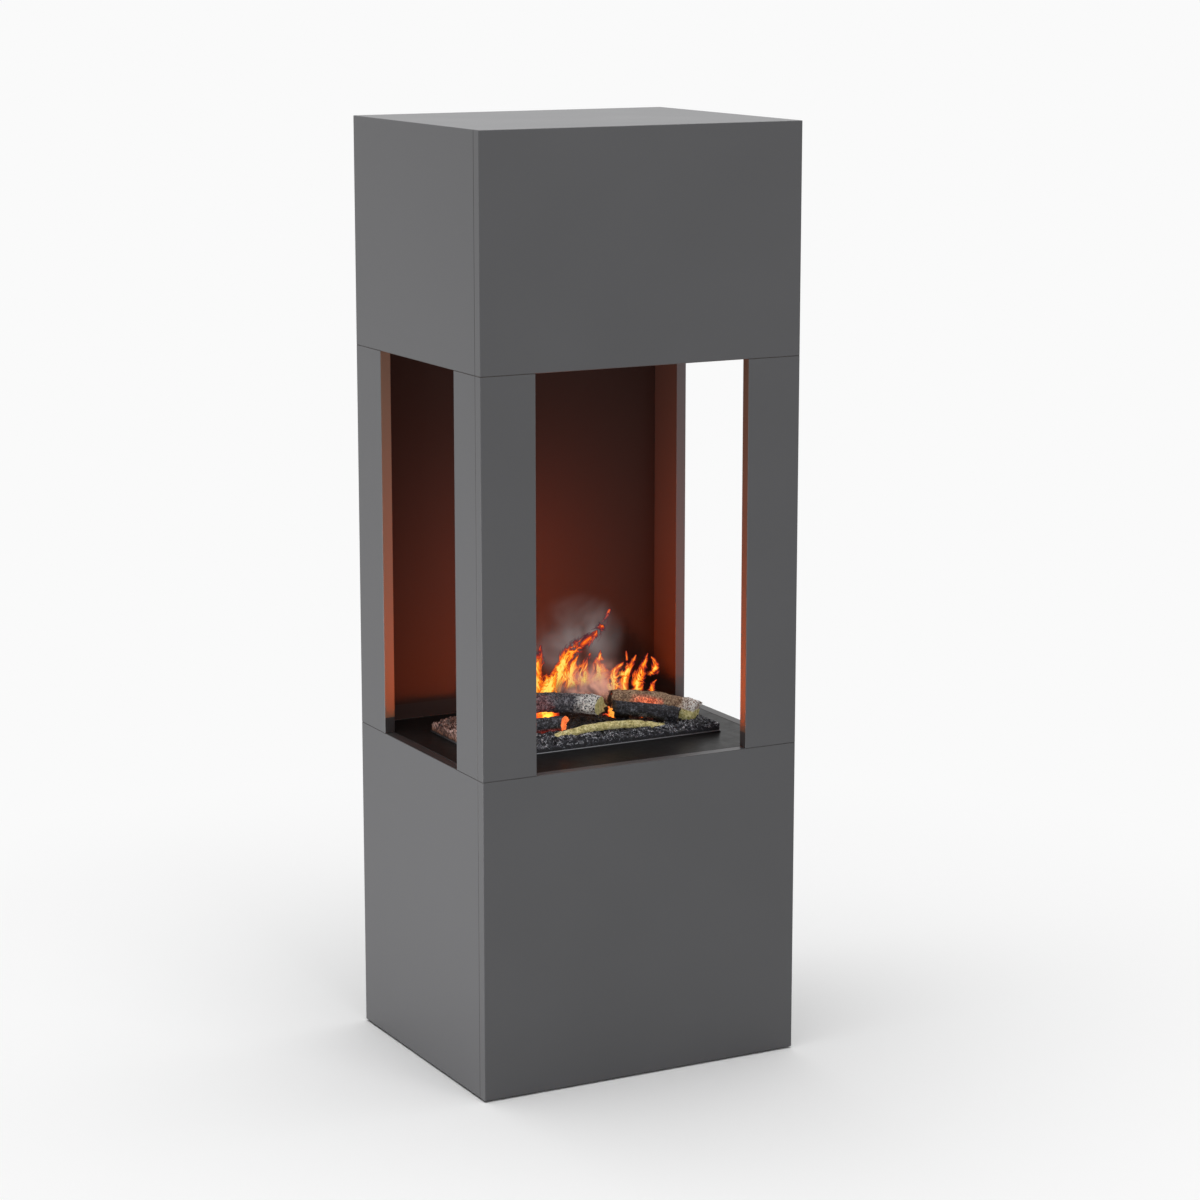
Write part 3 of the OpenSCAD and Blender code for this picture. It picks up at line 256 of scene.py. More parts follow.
def satin_lacquer_mdf(colour, lining):
    """Sprayed satin lacquer on board: an even anthracite, nearly black inside the chamber, with
    painted light of the fire and painted shade.
    """
    material, shader, node = principled("satin_lacquer_mdf", Roughness=0.4, IOR=1.5)
    coord = place(node)
    # The coat drifts in tone over about 200 mm
    cloud = node("TexNoise", {"Vector": coord, "Scale": 1 / 0.2, "Detail": 2.0})
    tone = node("ValToRGB", cloud, stops=[(0.3, shade(colour, 0.965)), (0.7, shade(colour, 1.035))])
    x, y, z = node("SeparateXYZ", coord).outputs
    opening = node("Math", within(node, y, FRONT_Y + SKIN, BACK_Y + 2 * SKIN),
                   within(node, z, HEARTH_Z + 2 * SKIN, HOOD_Z + SKIN), operation="MULTIPLY")
    inside = node("Math", opening, within(node, x, -INNER_X - SKIN, INNER_X + SKIN),
                  operation="MULTIPLY")
    # The walls, and the edges of the left boards, are painted warm brown: painted light of the fire
    painted_light_area = node("Math", opening, within(node, x, SKIN - INNER_X - BOARD, INNER_X + SKIN),
                  operation="MULTIPLY")
    tone = node("Mix", {0: painted_light_area, 6: tone, 7: srgb("#644D3A")}, data_type="RGBA")
    # The dark lining is mixed in less towards the front and fully on the back wall: painted shade,
    # deeper in the chamber
    deep = node("MapRange", y, FRONT_Y, BACK_Y, 0.5, 0.9)
    back = node("Math", y, BACK_Y - SKIN, operation="GREATER_THAN")
    deep = node("Math", deep, back, operation="MAXIMUM")
    inside = node("Math", inside, deep, operation="MULTIPLY")
    tone = node("Mix", {0: inside, 6: tone, 7: lining}, data_type="RGBA")
    # The blocks meet in thin painted shadow lines, and so do the front and side boards on the side
    # faces.
    # The faces that lie at these levels, the tops of the base boards round the hearth and the
    # underside of the hood, get the same painted shade
    side = node("Math", x, operation="ABSOLUTE")
    side = node("Math", side, INNER_X + BOARD - SKIN, operation="GREATER_THAN")
    painted_joint_shade = node("Math", side, within(node, y, FRONT_Y + BOARD - LINE, FRONT_Y + BOARD + LINE),
                  operation="MULTIPLY")
    for level in (HEARTH_Z, HOOD_Z):
        painted_joint_shade = node("Math", painted_joint_shade, within(node, z, level - LINE, level + LINE),
                      operation="MAXIMUM")
    # The top edge of the front board has no line on it: it catches the light under the opening
    ledge = node("Math", within(node, y, FRONT_Y + 0.0003, FRONT_Y + BOARD - SKIN),
                 node("Math", 1.0, side, operation="SUBTRACT"), operation="MULTIPLY")
    painted_joint_shade = node("Math", painted_joint_shade, node("Math", 1.0, ledge, operation="SUBTRACT"),
                  operation="MULTIPLY")
    painted_joint_shade = node("Math", painted_joint_shade, 0.75, operation="MULTIPLY")
    tone = node("Mix", {0: painted_joint_shade, 6: tone, 7: lining}, data_type="RGBA")
    # A dark band 23 mm high is painted round the foot of the chamber: painted shadow of the
    # cassette rim
    foot = node("Math", z, HEARTH_Z + 0.023, operation="LESS_THAN")
    foot = node("Math", foot, painted_light_area, operation="MULTIPLY")
    tone = node("Mix", {0: foot, 6: tone, 7: srgb("#222324")}, data_type="RGBA")
    # The peel of a sprayed coat is about 2 mm from hill to hill
    peel = node("TexNoise", {"Vector": coord, "Scale": 1 / 0.002, "Detail": 1.0})
    rough = node("Math", node("Math", cloud, 0.1, operation="MULTIPLY"), 0.35, operation="ADD")
    dull = node("Math", inside, 0.6, operation="MULTIPLY")
    feed(shader, {"Base Color": tone, "Roughness": node("Math", rough, dull, operation="ADD"),
                  "Normal": node("Bump", {"Height": peel, "Strength": 0.06, "Distance": 0.0004})})
    return material


def satin_black_lacquer():
    """Black satin lacquer on the hearth: dark, with a soft sheen and a little dust."""
    material, shader, node = principled("satin_black_lacquer", Roughness=0.34, IOR=1.5,
                                        Specular_IOR_Level=0.08)
    # Dust lies in patches about 17 mm wide
    dust = node("TexNoise", {"Vector": place(node), "Scale": 60.0, "Detail": 6.0, "Roughness": 0.7})
    tone = node("ValToRGB", dust, stops=[(0.35, srgb("#131212")), (0.8, srgb("#201F1E"))])
    rough = node("ValToRGB", dust, stops=[(0.3, (0.3,) * 3 + (1,)), (0.8, (0.46,) * 3 + (1,))])
    feed(shader, {"Base Color": tone, "Roughness": rough})
    return material


def powder_coat(name, code):
    """Powder coated sheet steel: matt black with a fine grain of about 1 mm."""
    material, shader, node = principled(name, Roughness=0.5, IOR=1.5)
    base = srgb(code)
    grain = node("TexNoise", {"Vector": place(node), "Scale": 1 / 0.001, "Detail": 2.0})
    tone = node("ValToRGB", grain, stops=[(0.35, shade(base, 0.8)), (0.7, shade(base, 1.3))])
    feed(shader, {"Base Color": tone,
                  "Normal": node("Bump", {"Height": grain, "Strength": 0.25, "Distance": 0.0003})})
    return material


def moulded_plastic(name, code, roughness=0.45):
    """Injection moulded plastic with a spark-eroded grain of 0.8 mm that softens its shine."""
    material, shader, node = principled(name, Roughness=roughness, IOR=1.46)
    coord = place(node)
    base = srgb(code)
    grain = node("TexVoronoi", {"Vector": coord, "Scale": 1 / 0.0008})
    # Its colour drifts over about 33 mm
    haze = node("TexNoise", {"Vector": coord, "Scale": 30.0, "Detail": 3.0})
    tone = node("ValToRGB", haze, stops=[(0.3, shade(base, 0.9)), (0.7, shade(base, 1.08))])
    feed(shader, {"Base Color": tone,
                  "Normal": node("Bump", {"Height": grain, "Strength": 0.15, "Distance": 0.0002})})
    return material


def clear_plastic(name, code, alpha, glow=0.0):
    """Clear moulded plastic, tinted: it lets through what lies behind it."""
    material, shader, node = principled(name, Roughness=0.12, IOR=1.49, Alpha=alpha)
    base = srgb(code)
    # Its tint drifts over 25 mm
    haze = node("TexNoise", {"Vector": place(node), "Scale": 1 / 0.025, "Detail": 2.0})
    tone = node("ValToRGB", haze, stops=[(0.3, shade(base, 0.92)), (0.7, base)])
    feed(shader, {"Base Color": tone})
    if glow:
        feed(shader, {"Emission Color": base, "Emission Strength": glow})
    return material


def brushed_metal(name, code, roughness=0.35):
    """Rolled and brushed metal: level lines 0.26 mm high that stretch the highlights."""
    material, shader, node = principled(name, Metallic=1.0, Roughness=roughness)
    base = srgb(code)
    lines = node("TexNoise", {"Vector": place(node, (1, 1, 14)), "Scale": 1 / 0.0036,
                              "Detail": 3.0})
    tone = node("ValToRGB", lines, stops=[(0.3, shade(base, 0.85)), (0.7, base)])
    feed(shader, {"Base Color": tone,
                  "Normal": node("Bump", {"Height": lines, "Strength": 0.1, "Distance": 0.0002})})
    return material


def planed_softwood():
    """Planed pine: pale, with darker late-wood bands, drawn 12 mm apart so that they show."""
    material, shader, node = principled("planed_softwood", Roughness=0.62, IOR=1.45)
    bands = node("TexWave", {"Vector": place(node, (1, 0.12, 1)), "Scale": 1 / (0.003 * 6.28),
                             "Distortion": 3.0, "Detail": 2.0},
                 bands_direction="DIAGONAL").outputs["Fac"]
    tone = node("ValToRGB", bands, stops=[(0.2, srgb("#D9B483")), (0.9, srgb("#B98A55"))])
    feed(shader, {"Base Color": tone,
                  "Normal": node("Bump", {"Height": bands, "Strength": 0.1, "Distance": 0.0002})})
    return material


def circuit_board():
    """Solder resist over copper: green with a faint pattern of tracks 1.5 mm apart."""
    material, shader, node = principled("solder_resist_board", Roughness=0.3, IOR=1.5)
    feed(shader, {"Base Color": node("TexBrick", {
        "Vector": place(node), "Scale": 1 / 0.006, "Color1": srgb("#0E3B26"),
        "Color2": srgb("#124A2F"), "Mortar": srgb("#2E7A50"), "Mortar Size": 0.03})})
    return material


def lamp_strip():
    """The lamp board: green resist, and amber domes that shine above its face."""
    material, shader, node = principled("lamp_strip", Roughness=0.3, IOR=1.5)
    height = node("SeparateXYZ", place(node)).outputs["Z"]
    # The board under the domes is 1.6 mm thick
    lit = node("Math", height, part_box("lamp_board")[0].z + 0.0018, operation="GREATER_THAN")
    tone = node("ValToRGB", lit, stops=[(0.0, srgb("#0E3B26")), (1.0, srgb("#FFC070"))])
    tone.color_ramp.interpolation = "CONSTANT"
    feed(shader, {"Base Color": tone, "Emission Color": tone,
                  "Emission Strength": node("Math", lit, 3.0, operation="MULTIPLY")})
    return material


# Hot spots of the bed: middle in mm, z above the hearth, and reach in mm
HOT_SPOTS = [((-28, 42, 18), 24), ((-58, 38, 18), 20), ((64, -8, 20), 24), ((101, -22, 20), 12),
             ((-100, 30, 18), 18)]


def hot_spots(node, coord):
    """Colour of the yellow embers that cool to red and go out at the reach of their hot spot."""
    heat = None
    for middle, reach in HOT_SPOTS:
        off = node("VectorMath", coord, bed_point(middle), operation="DISTANCE")
        near = node("MapRange", off, 0.2 * reach / 1000, reach / 1000, 1.0, 0.0)
        heat = node("Math", heat, near, operation="MAXIMUM") if heat else near
    patch = node("TexNoise", {"Vector": coord, "Scale": 1 / 0.008, "Detail": 3.0})
    heat = node("Math", heat, node("Math", patch, 0.35, operation="ADD"), operation="MULTIPLY")
    return node("ValToRGB", heat, stops=[(0.1, (0, 0, 0, 1)), (0.3, srgb("#8C1E08")),
                                         (0.5, srgb("#F05A12")), (0.75, srgb("#FFB43A"))])


def charcoal_gravel():
    """Crushed charcoal: dull black grains, some grey with ash, red between the ones that glow."""
    material, shader, node = principled("charcoal_gravel", Roughness=0.55, IOR=1.5)
    coord = place(node)
    # Each grain about 3.5 mm wide has its own grey, with flecks of 1.6 mm on it
    cells = node("TexVoronoi", {"Vector": coord, "Scale": 1 / 0.0035})
    grey = node("SeparateColor", {"Color": cells.outputs["Color"]})
    fleck = node("TexNoise", {"Vector": coord, "Scale": 1 / 0.0016, "Detail": 3.0})
    grey = node("Math", grey, 0.32, operation="MULTIPLY")
    mixed = node("Math", fleck, 0.8, grey, operation="MULTIPLY_ADD")
    x, y, z = node("SeparateXYZ", coord).outputs
    # Less ash towards the right; the grains are darker behind the front edge and low down, but for
    # the left end
    dusty = node("MapRange", x, -0.1, 0.14, 0.0, -0.01)
    front = node("MapRange", y, -0.066, -0.05, 0.0, -0.16)
    foot = node("MapRange", z, HEARTH_Z + 0.005, HEARTH_Z + 0.009, -0.16, 0.0)
    inner = node("MapRange", x, -0.15, -0.13)
    dark = node("Math", front, inner, operation="MULTIPLY")
    dark = node("Math", dark, foot, operation="MINIMUM")
    tone = node("Math", mixed, node("Math", dusty, dark, operation="ADD"), operation="ADD")
    tone = node("ValToRGB", tone, stops=[(0.38, srgb("#0B0B0E")), (0.54, srgb("#26272E")),
                                         (0.66, srgb("#4C4D57")), (0.74, srgb("#D4D6DC"))])
    # The left end is brown in the light of the fire
    warm = node("Math", node("Math", 1.0, inner, operation="SUBTRACT"), 0.6, operation="MULTIPLY")
    brown = node("ValToRGB", mixed, stops=[(0.45, srgb("#2A1612")), (0.7, srgb("#C08468"))])
    tone = node("Mix", {0: warm, 6: tone, 7: brown}, data_type="RGBA")
    feed(shader, {"Base Color": tone, "Emission Color": hot_spots(node, coord),
                  "Emission Strength": 2.2,
                  "Normal": node("Bump", {"Height": fleck, "Strength": 0.6, "Distance": 0.0012})})
    return material


def bark(name, dark, mid, light, fleck_from, ash=None, moss=None, embers=(), under=0.0,
         lit=0.0):
    """Moulded and painted bark: furrowed and flecked, in three tones from the furrow to the fleck.

    The flecks are fully light where the pattern reaches fleck_from. Along a log goes from 0 to 1,
    and its height from -1 to 1. White ash starts at ash along it.
    moss is a colour, its start along the log and the height up to which it grows. Each ember is its
    middle and reach along the log, the height up to which it glows and its heat. under is the heat
    from below, and lit the share of its own colour that it gives off: painted firelight, as with
    fire all round it.
    """
    material, shader, node = principled(name, Roughness=0.7, IOR=1.45)
    coord = place(node)
    along = node("Attribute", attribute_name="along").outputs["Fac"]
    height = node("Attribute", attribute_name="height").outputs["Fac"]
    # Furrows are about 9 mm apart, flecks 2.8 mm
    furrow = node("TexNoise", {"Vector": coord, "Scale": 1 / 0.009, "Detail": 5.0,
                               "Roughness": 0.65})
    fleck = node("TexNoise", {"Vector": coord, "Scale": 1 / 0.0028, "Detail": 2.0,
                              "Roughness": 0.8})
    mixed = node("Math", node("Math", furrow, 0.45, operation="MULTIPLY"),
                 node("Math", fleck, 0.55, operation="MULTIPLY"), operation="ADD")
    tone = node("ValToRGB", mixed, stops=[(0.36, dark), (0.5, mid), (fleck_from, light)])
    uneven = node("Math", furrow, 0.3, operation="MULTIPLY")
    uneven = node("Math", uneven, 0.15, operation="SUBTRACT")
    wander = node("Math", along, uneven, operation="ADD")
    if ash:
        flecks = node("Math", fleck, 0.47, operation="GREATER_THAN")
        share = node("MapRange", wander, ash - 0.06, ash + 0.06, 0.04, 1.0)
        tone = node("Mix", {0: node("Math", flecks, share, operation="MULTIPLY"), 6: tone,
                            7: srgb("#E6E4E0")}, data_type="RGBA")
    if moss:
        colour, start_at, top = moss
        share = node("MapRange", wander, start_at - 0.02, start_at + 0.02, 0.0, 1.0)
        low = node("Math", height, uneven, operation="ADD")
        low = node("MapRange", low, top, top + 0.15, 1.0, 0.0)
        green = node("ValToRGB", mixed, stops=[(0.38, srgb("#8A8448")), (0.5, srgb("#CEC688")),
                                               (0.62, colour)])
        tone = node("Mix", {0: node("Math", share, low, operation="MULTIPLY"), 6: tone, 7: green},
                    data_type="RGBA")
    heat = node("MapRange", height, -0.9, 0.1, under, 0.0) if under else None
    for centre, reach, top, level in embers:
        off = node("Math", wander, centre, operation="SUBTRACT")
        off = node("Math", off, reach, operation="DIVIDE")
        off = node("Math", node("Math", off, operation="ABSOLUTE"), 3.0, operation="POWER")
        near = node("Math", 1.0, off, operation="SUBTRACT")
        low = node("MapRange", height, top - 0.5, top, 1.0, 0.0)
        spot = node("Math", near, low, operation="MULTIPLY", use_clamp=True)
        spot = node("Math", spot, level, operation="MULTIPLY")
        heat = node("Math", heat, spot, operation="MAXIMUM") if heat else spot
    # Painted firelight: the bark gives off the share lit of its own colour
    glow = node("VectorMath", {0: tone, "Scale": lit}, operation="SCALE")
    if heat:
        patch = node("Math", fleck, 2.0, operation="MULTIPLY")
        heat = node("Math", heat, patch, operation="MULTIPLY")
        colour = node("ValToRGB", heat, stops=[(0.12, (0, 0, 0, 1)), (0.36, srgb("#6E1A0C")),
                                               (0.62, srgb("#D2562A")), (0.95, srgb("#FFA03C"))])
        glow = node("VectorMath", glow, colour, operation="ADD")
    if lit or heat:
        feed(shader, {"Emission Color": glow, "Emission Strength": 1.3})
    feed(shader, {"Base Color": tone,
                  "Normal": node("Bump", {"Height": mixed, "Strength": 0.8, "Distance": 0.002})})
    return material


def hewn_end(name, light, dark, glow=0.0):
    """Hewn and painted end grain: rough fibres with dark pits; with glow it gives off its own
    colour, painted light of the fire.
    """
    material, shader, node = principled(name, Roughness=0.75, IOR=1.45)
    fibre = node("TexNoise", {"Vector": place(node, (1, 1, 0.4)), "Scale": 1 / 0.003, "Detail": 4.0,
                              "Roughness": 0.7})
    tone = node("ValToRGB", fibre, stops=[(0.35, dark), (0.6, light)])
    feed(shader, {"Base Color": tone,
                  "Normal": node("Bump", {"Height": fibre, "Strength": 0.6, "Distance": 0.001})})
    if glow:
        feed(shader, {"Emission Color": tone, "Emission Strength": glow})
    return material


def flame_material(strength):
    """Lit vapour: yellow licks that turn orange, red and purple at torn, see-through edges."""
    material, shader, node = principled("lit_vapour_flame", Roughness=1.0, Base_Color=(0, 0, 0, 1),
                                        Specular_IOR_Level=0.0)
    u, v, _ = node("SeparateXYZ", node("UVMap")).outputs
    x, _, z = node("SeparateXYZ", place(node)).outputs
    # Licks are bright where a warped noise, about 20 mm wide and 35 mm high, crosses its middle
    field = node("TexNoise", {"Vector": place(node, (1, 1, 0.55)), "Scale": 1 / 0.019,
                              "Detail": 3.0, "Roughness": 0.55, "Distortion": 1.1})
    off = node("Math", node("Math", field, 0.5, operation="SUBTRACT"), operation="ABSOLUTE")
    lick = node("Math", 0.5, node("Math", off, 5.0, operation="MULTIPLY"), operation="SUBTRACT")
    across = node("Math", node("Math", u, 0.5, operation="SUBTRACT"), operation="ABSOLUTE")
    across = node("Math", across, 2.0, operation="MULTIPLY")
    middle = node("Math", 1.0, across, operation="SUBTRACT")
    heat = node("Math", node("Math", middle, 1.05, operation="MULTIPLY"),
                node("Math", lick, 1.15, operation="MULTIPLY"), operation="ADD")
    heat = node("Math", heat, node("Math", v, 0.35, operation="MULTIPLY"), operation="SUBTRACT")
    alpha = node("MapRange", heat, 0.15, 0.85, 0.0, 0.9, interpolation_type="SMOOTHSTEP")
    foot = node("MapRange", v, 0.0, 0.3, 0.0, 1.0, interpolation_type="SMOOTHSTEP")
    # The flames cool upwards and to the right
    high = node("MapRange", z, HEARTH_Z + 0.075, HEARTH_Z + 0.135, 0.0, 0.5)
    cool = node("Math", high, node("MapRange", x, 0.07, 0.12, 0.0, 0.25), operation="ADD")
    warmth = node("Math", node("Math", heat, cool, operation="SUBTRACT"),
                  node("Math", v, 0.12, operation="MULTIPLY"), operation="SUBTRACT")
    colour = node("ValToRGB", warmth, stops=[
        (0.08, srgb("#3E1826")), (0.3, srgb("#9A2E22")), (0.52, srgb("#E4561A")),
        (0.76, srgb("#FF941E")), (1.0, srgb("#FFD460"))])
    feed(shader, {"Emission Color": colour, "Emission Strength": strength,
                  "Alpha": node("Math", alpha, foot, operation="MULTIPLY")})
    return material


def vapour_material(name, dim, bright, thickness, grain):
    """Vapour lit by the fire: soft wisps, thin enough to see through. In dark colours the same
    sheets are painted shadow.
    """
    material, shader, node = principled(name, Roughness=1.0, Base_Color=(0, 0, 0, 1),
                                        Specular_IOR_Level=0.0)
    wisps = node("TexNoise", {"Vector": place(node, (1, 1, 0.7)), "Scale": 1 / grain,
                              "Detail": 2.5, "Distortion": 0.5})
    off = node("VectorMath", node("UVMap"), (0.5, 0.5, 0), operation="DISTANCE")
    body = node("MapRange", off, 0.5, 0.05, 0.0, 1.0, interpolation_type="SMOOTHSTEP")
    cut = node("MapRange", wisps, 0.2, 0.7, 0.0, thickness, interpolation_type="SMOOTHSTEP")
    colour = node("ValToRGB", wisps, stops=[(0.35, srgb(dim)), (0.7, srgb(bright))])
    feed(shader, {"Emission Color": colour, "Emission Strength": 1.0,
                  "Alpha": node("Math", body, cut, operation="MULTIPLY")})
    return material


# Settings a user would change

class CabinetSettings(bpy.types.PropertyGroup):
    """Finish of the cabinet."""
    lacquer: bpy.props.FloatVectorProperty(
        name="Lacquer", description="Colour of the sprayed lacquer on all the boards",
        subtype="COLOR", size=4, min=0, max=1, default=srgb("#4C4C4E"))
    lining: bpy.props.FloatVectorProperty(
        name="Lining", description="Colour of the boards inside the fire chamber",
        subtype="COLOR", size=4, min=0, max=1, default=srgb("#1D1511"))


class FireSettings(bpy.types.PropertyGroup):
    """Coals, flames and their light."""
    grains: bpy.props.IntProperty(
        name="Grains", description="Charcoal grains scattered over the bed", default=6400, min=100)
    grain_size: bpy.props.FloatProperty(
        name="Grain size", description="Mean size of a charcoal grain", unit="LENGTH",
        default=0.0043, min=0.003, max=0.02)
    flame_light: bpy.props.FloatProperty(
        name="Flame light", description="Strength of the light of the flames", default=1.25, min=0)
    lamp_power: bpy.props.FloatProperty(
        name="Lamp power", description="Power of the amber lamps on the chamber walls",
        unit="POWER", default=4.0, min=0)


class StageSettings(bpy.types.PropertyGroup):
    """Floor and camera."""
    floor_colour: bpy.props.FloatVectorProperty(
        name="Floor", description="Colour of the floor round the column", subtype="COLOR", size=4,
        min=0, max=1, default=srgb("#F8F8F8"))
    lens: bpy.props.FloatProperty(
        name="Lens", description="Focal length on a 36 mm sensor", unit="CAMERA", default=98.82)


# Pieces

# The boards that are lacquered; the battens and the dowels are bare wood
LACQUERED = [name for name in NODES if name.startswith("hood_") or name.endswith("_post")] + [
    "base_front_board", "base_left_side", "base_right_side", "base_bottom_board", "base_back_rail",
    "chamber_back_board", "service_panel"]


def dress(names, material):
    """Gives the CAD nodes their material."""
    for name in names:
        mesh = NODES[name].data
        mesh.materials.clear()
        mesh.materials.append(material)


class FIREPLACE_OT_cabinet(bpy.types.Operator):
    """Finish the boards, the hearth plate and the fittings of the cabinet"""
    bl_idname = "fireplace.cabinet"
    bl_label = "Cabinet"

    def execute(self, context):
        settings = context.scene.fireplace_cabinet
        dress(LACQUERED, satin_lacquer_mdf(tuple(settings.lacquer), tuple(settings.lining)))
        dress(["hearth_plate"], satin_black_lacquer())
        dress(["base_battens", "joint_dowels"], planed_softwood())
        dress(["service_screws"], brushed_metal("zinc_plated_steel", "#B9BBBD"))
        dress(["floor_glides"], moulded_plastic("black_felt_glide", "#1C1C1C", 0.9))
        return {"FINISHED"}


# Rolled edge of the cassette, in metres: how far its middle lies outside the tray of the log bed
# and under the top of the lip, its radius, and the radius of its corners
RIM_OFF, RIM_DROP, RIM_RADIUS, RIM_CORNER = 0.0016, 0.001, 0.0012, 0.004


def rolled_rim():
    """The rolled edge along the lip of the cassette."""
    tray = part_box("bed_tray")[1]
    middle = (0, 0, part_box("cassette_tub")[1].z - RIM_DROP)
    clear_selection()
    bpy.ops.mesh.primitive_plane_add(size=2, location=middle)
    rim = start("rolled_rim")
    rim.scale = (tray.x + RIM_OFF, tray.y + RIM_OFF, 1)
    settle(rim)
    bpy.ops.object.mode_set(mode="EDIT")
    bpy.ops.mesh.delete(type="ONLY_FACE")
    bpy.ops.mesh.select_all(action="SELECT")
    bpy.ops.mesh.bevel(offset=RIM_CORNER, segments=5, affect="VERTICES")
    leave_edit()
    bpy.ops.object.convert(target="CURVE")
    rim.data.bevel_depth = RIM_RADIUS
    rim.data.bevel_resolution = 3
    bpy.ops.object.convert(target="MESH")
    bpy.ops.object.shade_smooth()
    return rim


class FIREPLACE_OT_vapour_unit(bpy.types.Operator):
    """Finish the cassette, the vapour unit, the tank and the controls"""
    bl_idname = "fireplace.vapour_unit"
    bl_label = "Vapour unit"

    def execute(self, context):
        dress(["cassette_tub", "bed_tray", "control_panel"],
              powder_coat("black_powder_coat", "#1A1A1B"))
        finish_piece(rolled_rim(), "cabinet", brushed_metal("rubbed_steel_edge", "#77787C", 0.4))
        dress(["bay_partitions"], brushed_metal("rolled_zinc_sheet", "#A9ACAE"))
        dress(["sump_tray", "lead_gland"], moulded_plastic("white_polypropylene", "#DAD9D4"))
        dress(["transducer_bodies"], brushed_metal("turned_brass", "#C9A45A", 0.3))
        dress(["transducer_discs"], brushed_metal("polished_steel_disc", "#C4C2BC", 0.18))
        dress(["mist_duct", "fan_housing", "power_supply", "switch_body", "mains_inlet",
               "mains_lead", "tank_cap"], moulded_plastic("black_abs", "#202022"))
        dress(["fan_rotor"], moulded_plastic("grey_abs", "#3A3A3D"))
        dress(["lamp_board"], lamp_strip())
        dress(["lamp_lens"], clear_plastic("amber_acrylic", "#FFA64A", 0.6, glow=0.8))
        dress(["control_board"], circuit_board())
        dress(["rocker"], moulded_plastic("red_polycarbonate", "#B3170F", 0.2))
        dress(["button_up", "button_down"], brushed_metal("satin_chromed_key", "#B8B9BC", 0.28))
        dress(["receiver_window"], moulded_plastic("dark_red_acrylic", "#3A070A", 0.08))
        dress(["water_tank"], clear_plastic("smoked_tank_plastic", "#8B98A6", 0.55))
        dress(["valve_plunger"], moulded_plastic("black_silicone", "#2B2B2D", 0.7))
        dress(["float_ring"], moulded_plastic("orange_foam", "#E8621A", 0.8))
        return {"FINISHED"}


# The widest random turn, in radians
ANY_TURN = 6.28
# Grains keep this far from the edge of the bed, in metres, and follow two irrational steps over it
EDGE, STEPS = 0.004, (0.754877666, 0.569840291)


def charcoal_grain(index):
    """One broken grain, modelled 0.8 wide: a block cut flat on several sides, two dozen faces."""
    clear_selection()
    bpy.ops.mesh.primitive_cube_add(size=0.8, location=(0, 0, 0))
    grain = start(f"grain_{index}")
    bpy.ops.object.mode_set(mode="EDIT")
    for k in range(5):
        turn = Euler([ANY_TURN * chance(index, k, j) for j in range(3)])
        normal = turn.to_matrix() @ Vector((0, 0, 1))
        off = 0.3 + 0.14 * chance(k, index)
        bpy.ops.mesh.select_all(action="SELECT")
        bpy.ops.mesh.bisect(plane_co=normal * off, plane_no=normal, use_fill=True, clear_outer=True)
    bpy.ops.mesh.select_all(action="SELECT")
    bpy.ops.mesh.dissolve_limited(angle_limit=0.5)
    bpy.ops.mesh.quads_convert_to_tris()
    leave_edit()
    return grain


def strew(name, grains, places):
    """One mesh from copies of the grains at the places (point, size, turn, index)."""
    points, faces = [], []
    for spot, size, turn, index in places:
        grain = grains[index].data
        first = len(points)
        matrix = turn.to_matrix() * size
        points += [spot + matrix @ v.co for v in grain.vertices]
        faces += [tuple(first + i for i in face.vertices) for face in grain.polygons]
    mesh = bpy.data.meshes.new(name)
    mesh.from_pydata(points, [], faces)
    mesh.update()
    return add_object(name, mesh)


def bed_surface(x, y):
    """Height of the moulded bed at a point, or None over the slot and outside."""
    hit, spot, _, _ = NODES["ember_bed"].ray_cast(Vector((x, y, 1.0)), Vector((0, 0, -1)))
    return spot.z if hit else None


class FIREPLACE_OT_coals(bpy.types.Operator):
    """Strew charcoal grains over the moulded bed"""
    bl_idname = "fireplace.coals"
    bl_label = "Coals"

    def execute(self, context):
        settings = context.scene.fireplace_fire
        gravel = charcoal_gravel()
        dress(["ember_bed"], gravel)
        grains = [charcoal_grain(i) for i in range(7)]
        low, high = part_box("ember_bed")
        places = []
        for n in range(settings.grains):
            x = low.x + EDGE + (high.x - low.x - 2 * EDGE) * ((n * STEPS[0] + 0.5) % 1)
            y = low.y + EDGE + (high.y - low.y - 2 * EDGE) * ((n * STEPS[1] + 0.5) % 1)
            z = bed_surface(x, y)
            if z is None or z < low.z + SKIN:
                continue
            size = settings.grain_size * (0.6 + 0.9 * chance(n, 3))
            turn = Euler([ANY_TURN * chance(n, j, 5) for j in range(3)])
            places.append((Vector((x, y, z + size * 0.12)), size, turn, n % len(grains)))
        if not places:
            raise RuntimeError("no grain found a place on the bed")
        field = strew("charcoal_grains", grains, places)
        for grain in grains:
            bpy.data.objects.remove(grain)
        finish_piece(field, "log_bed", gravel)
        return {"FINISHED"}


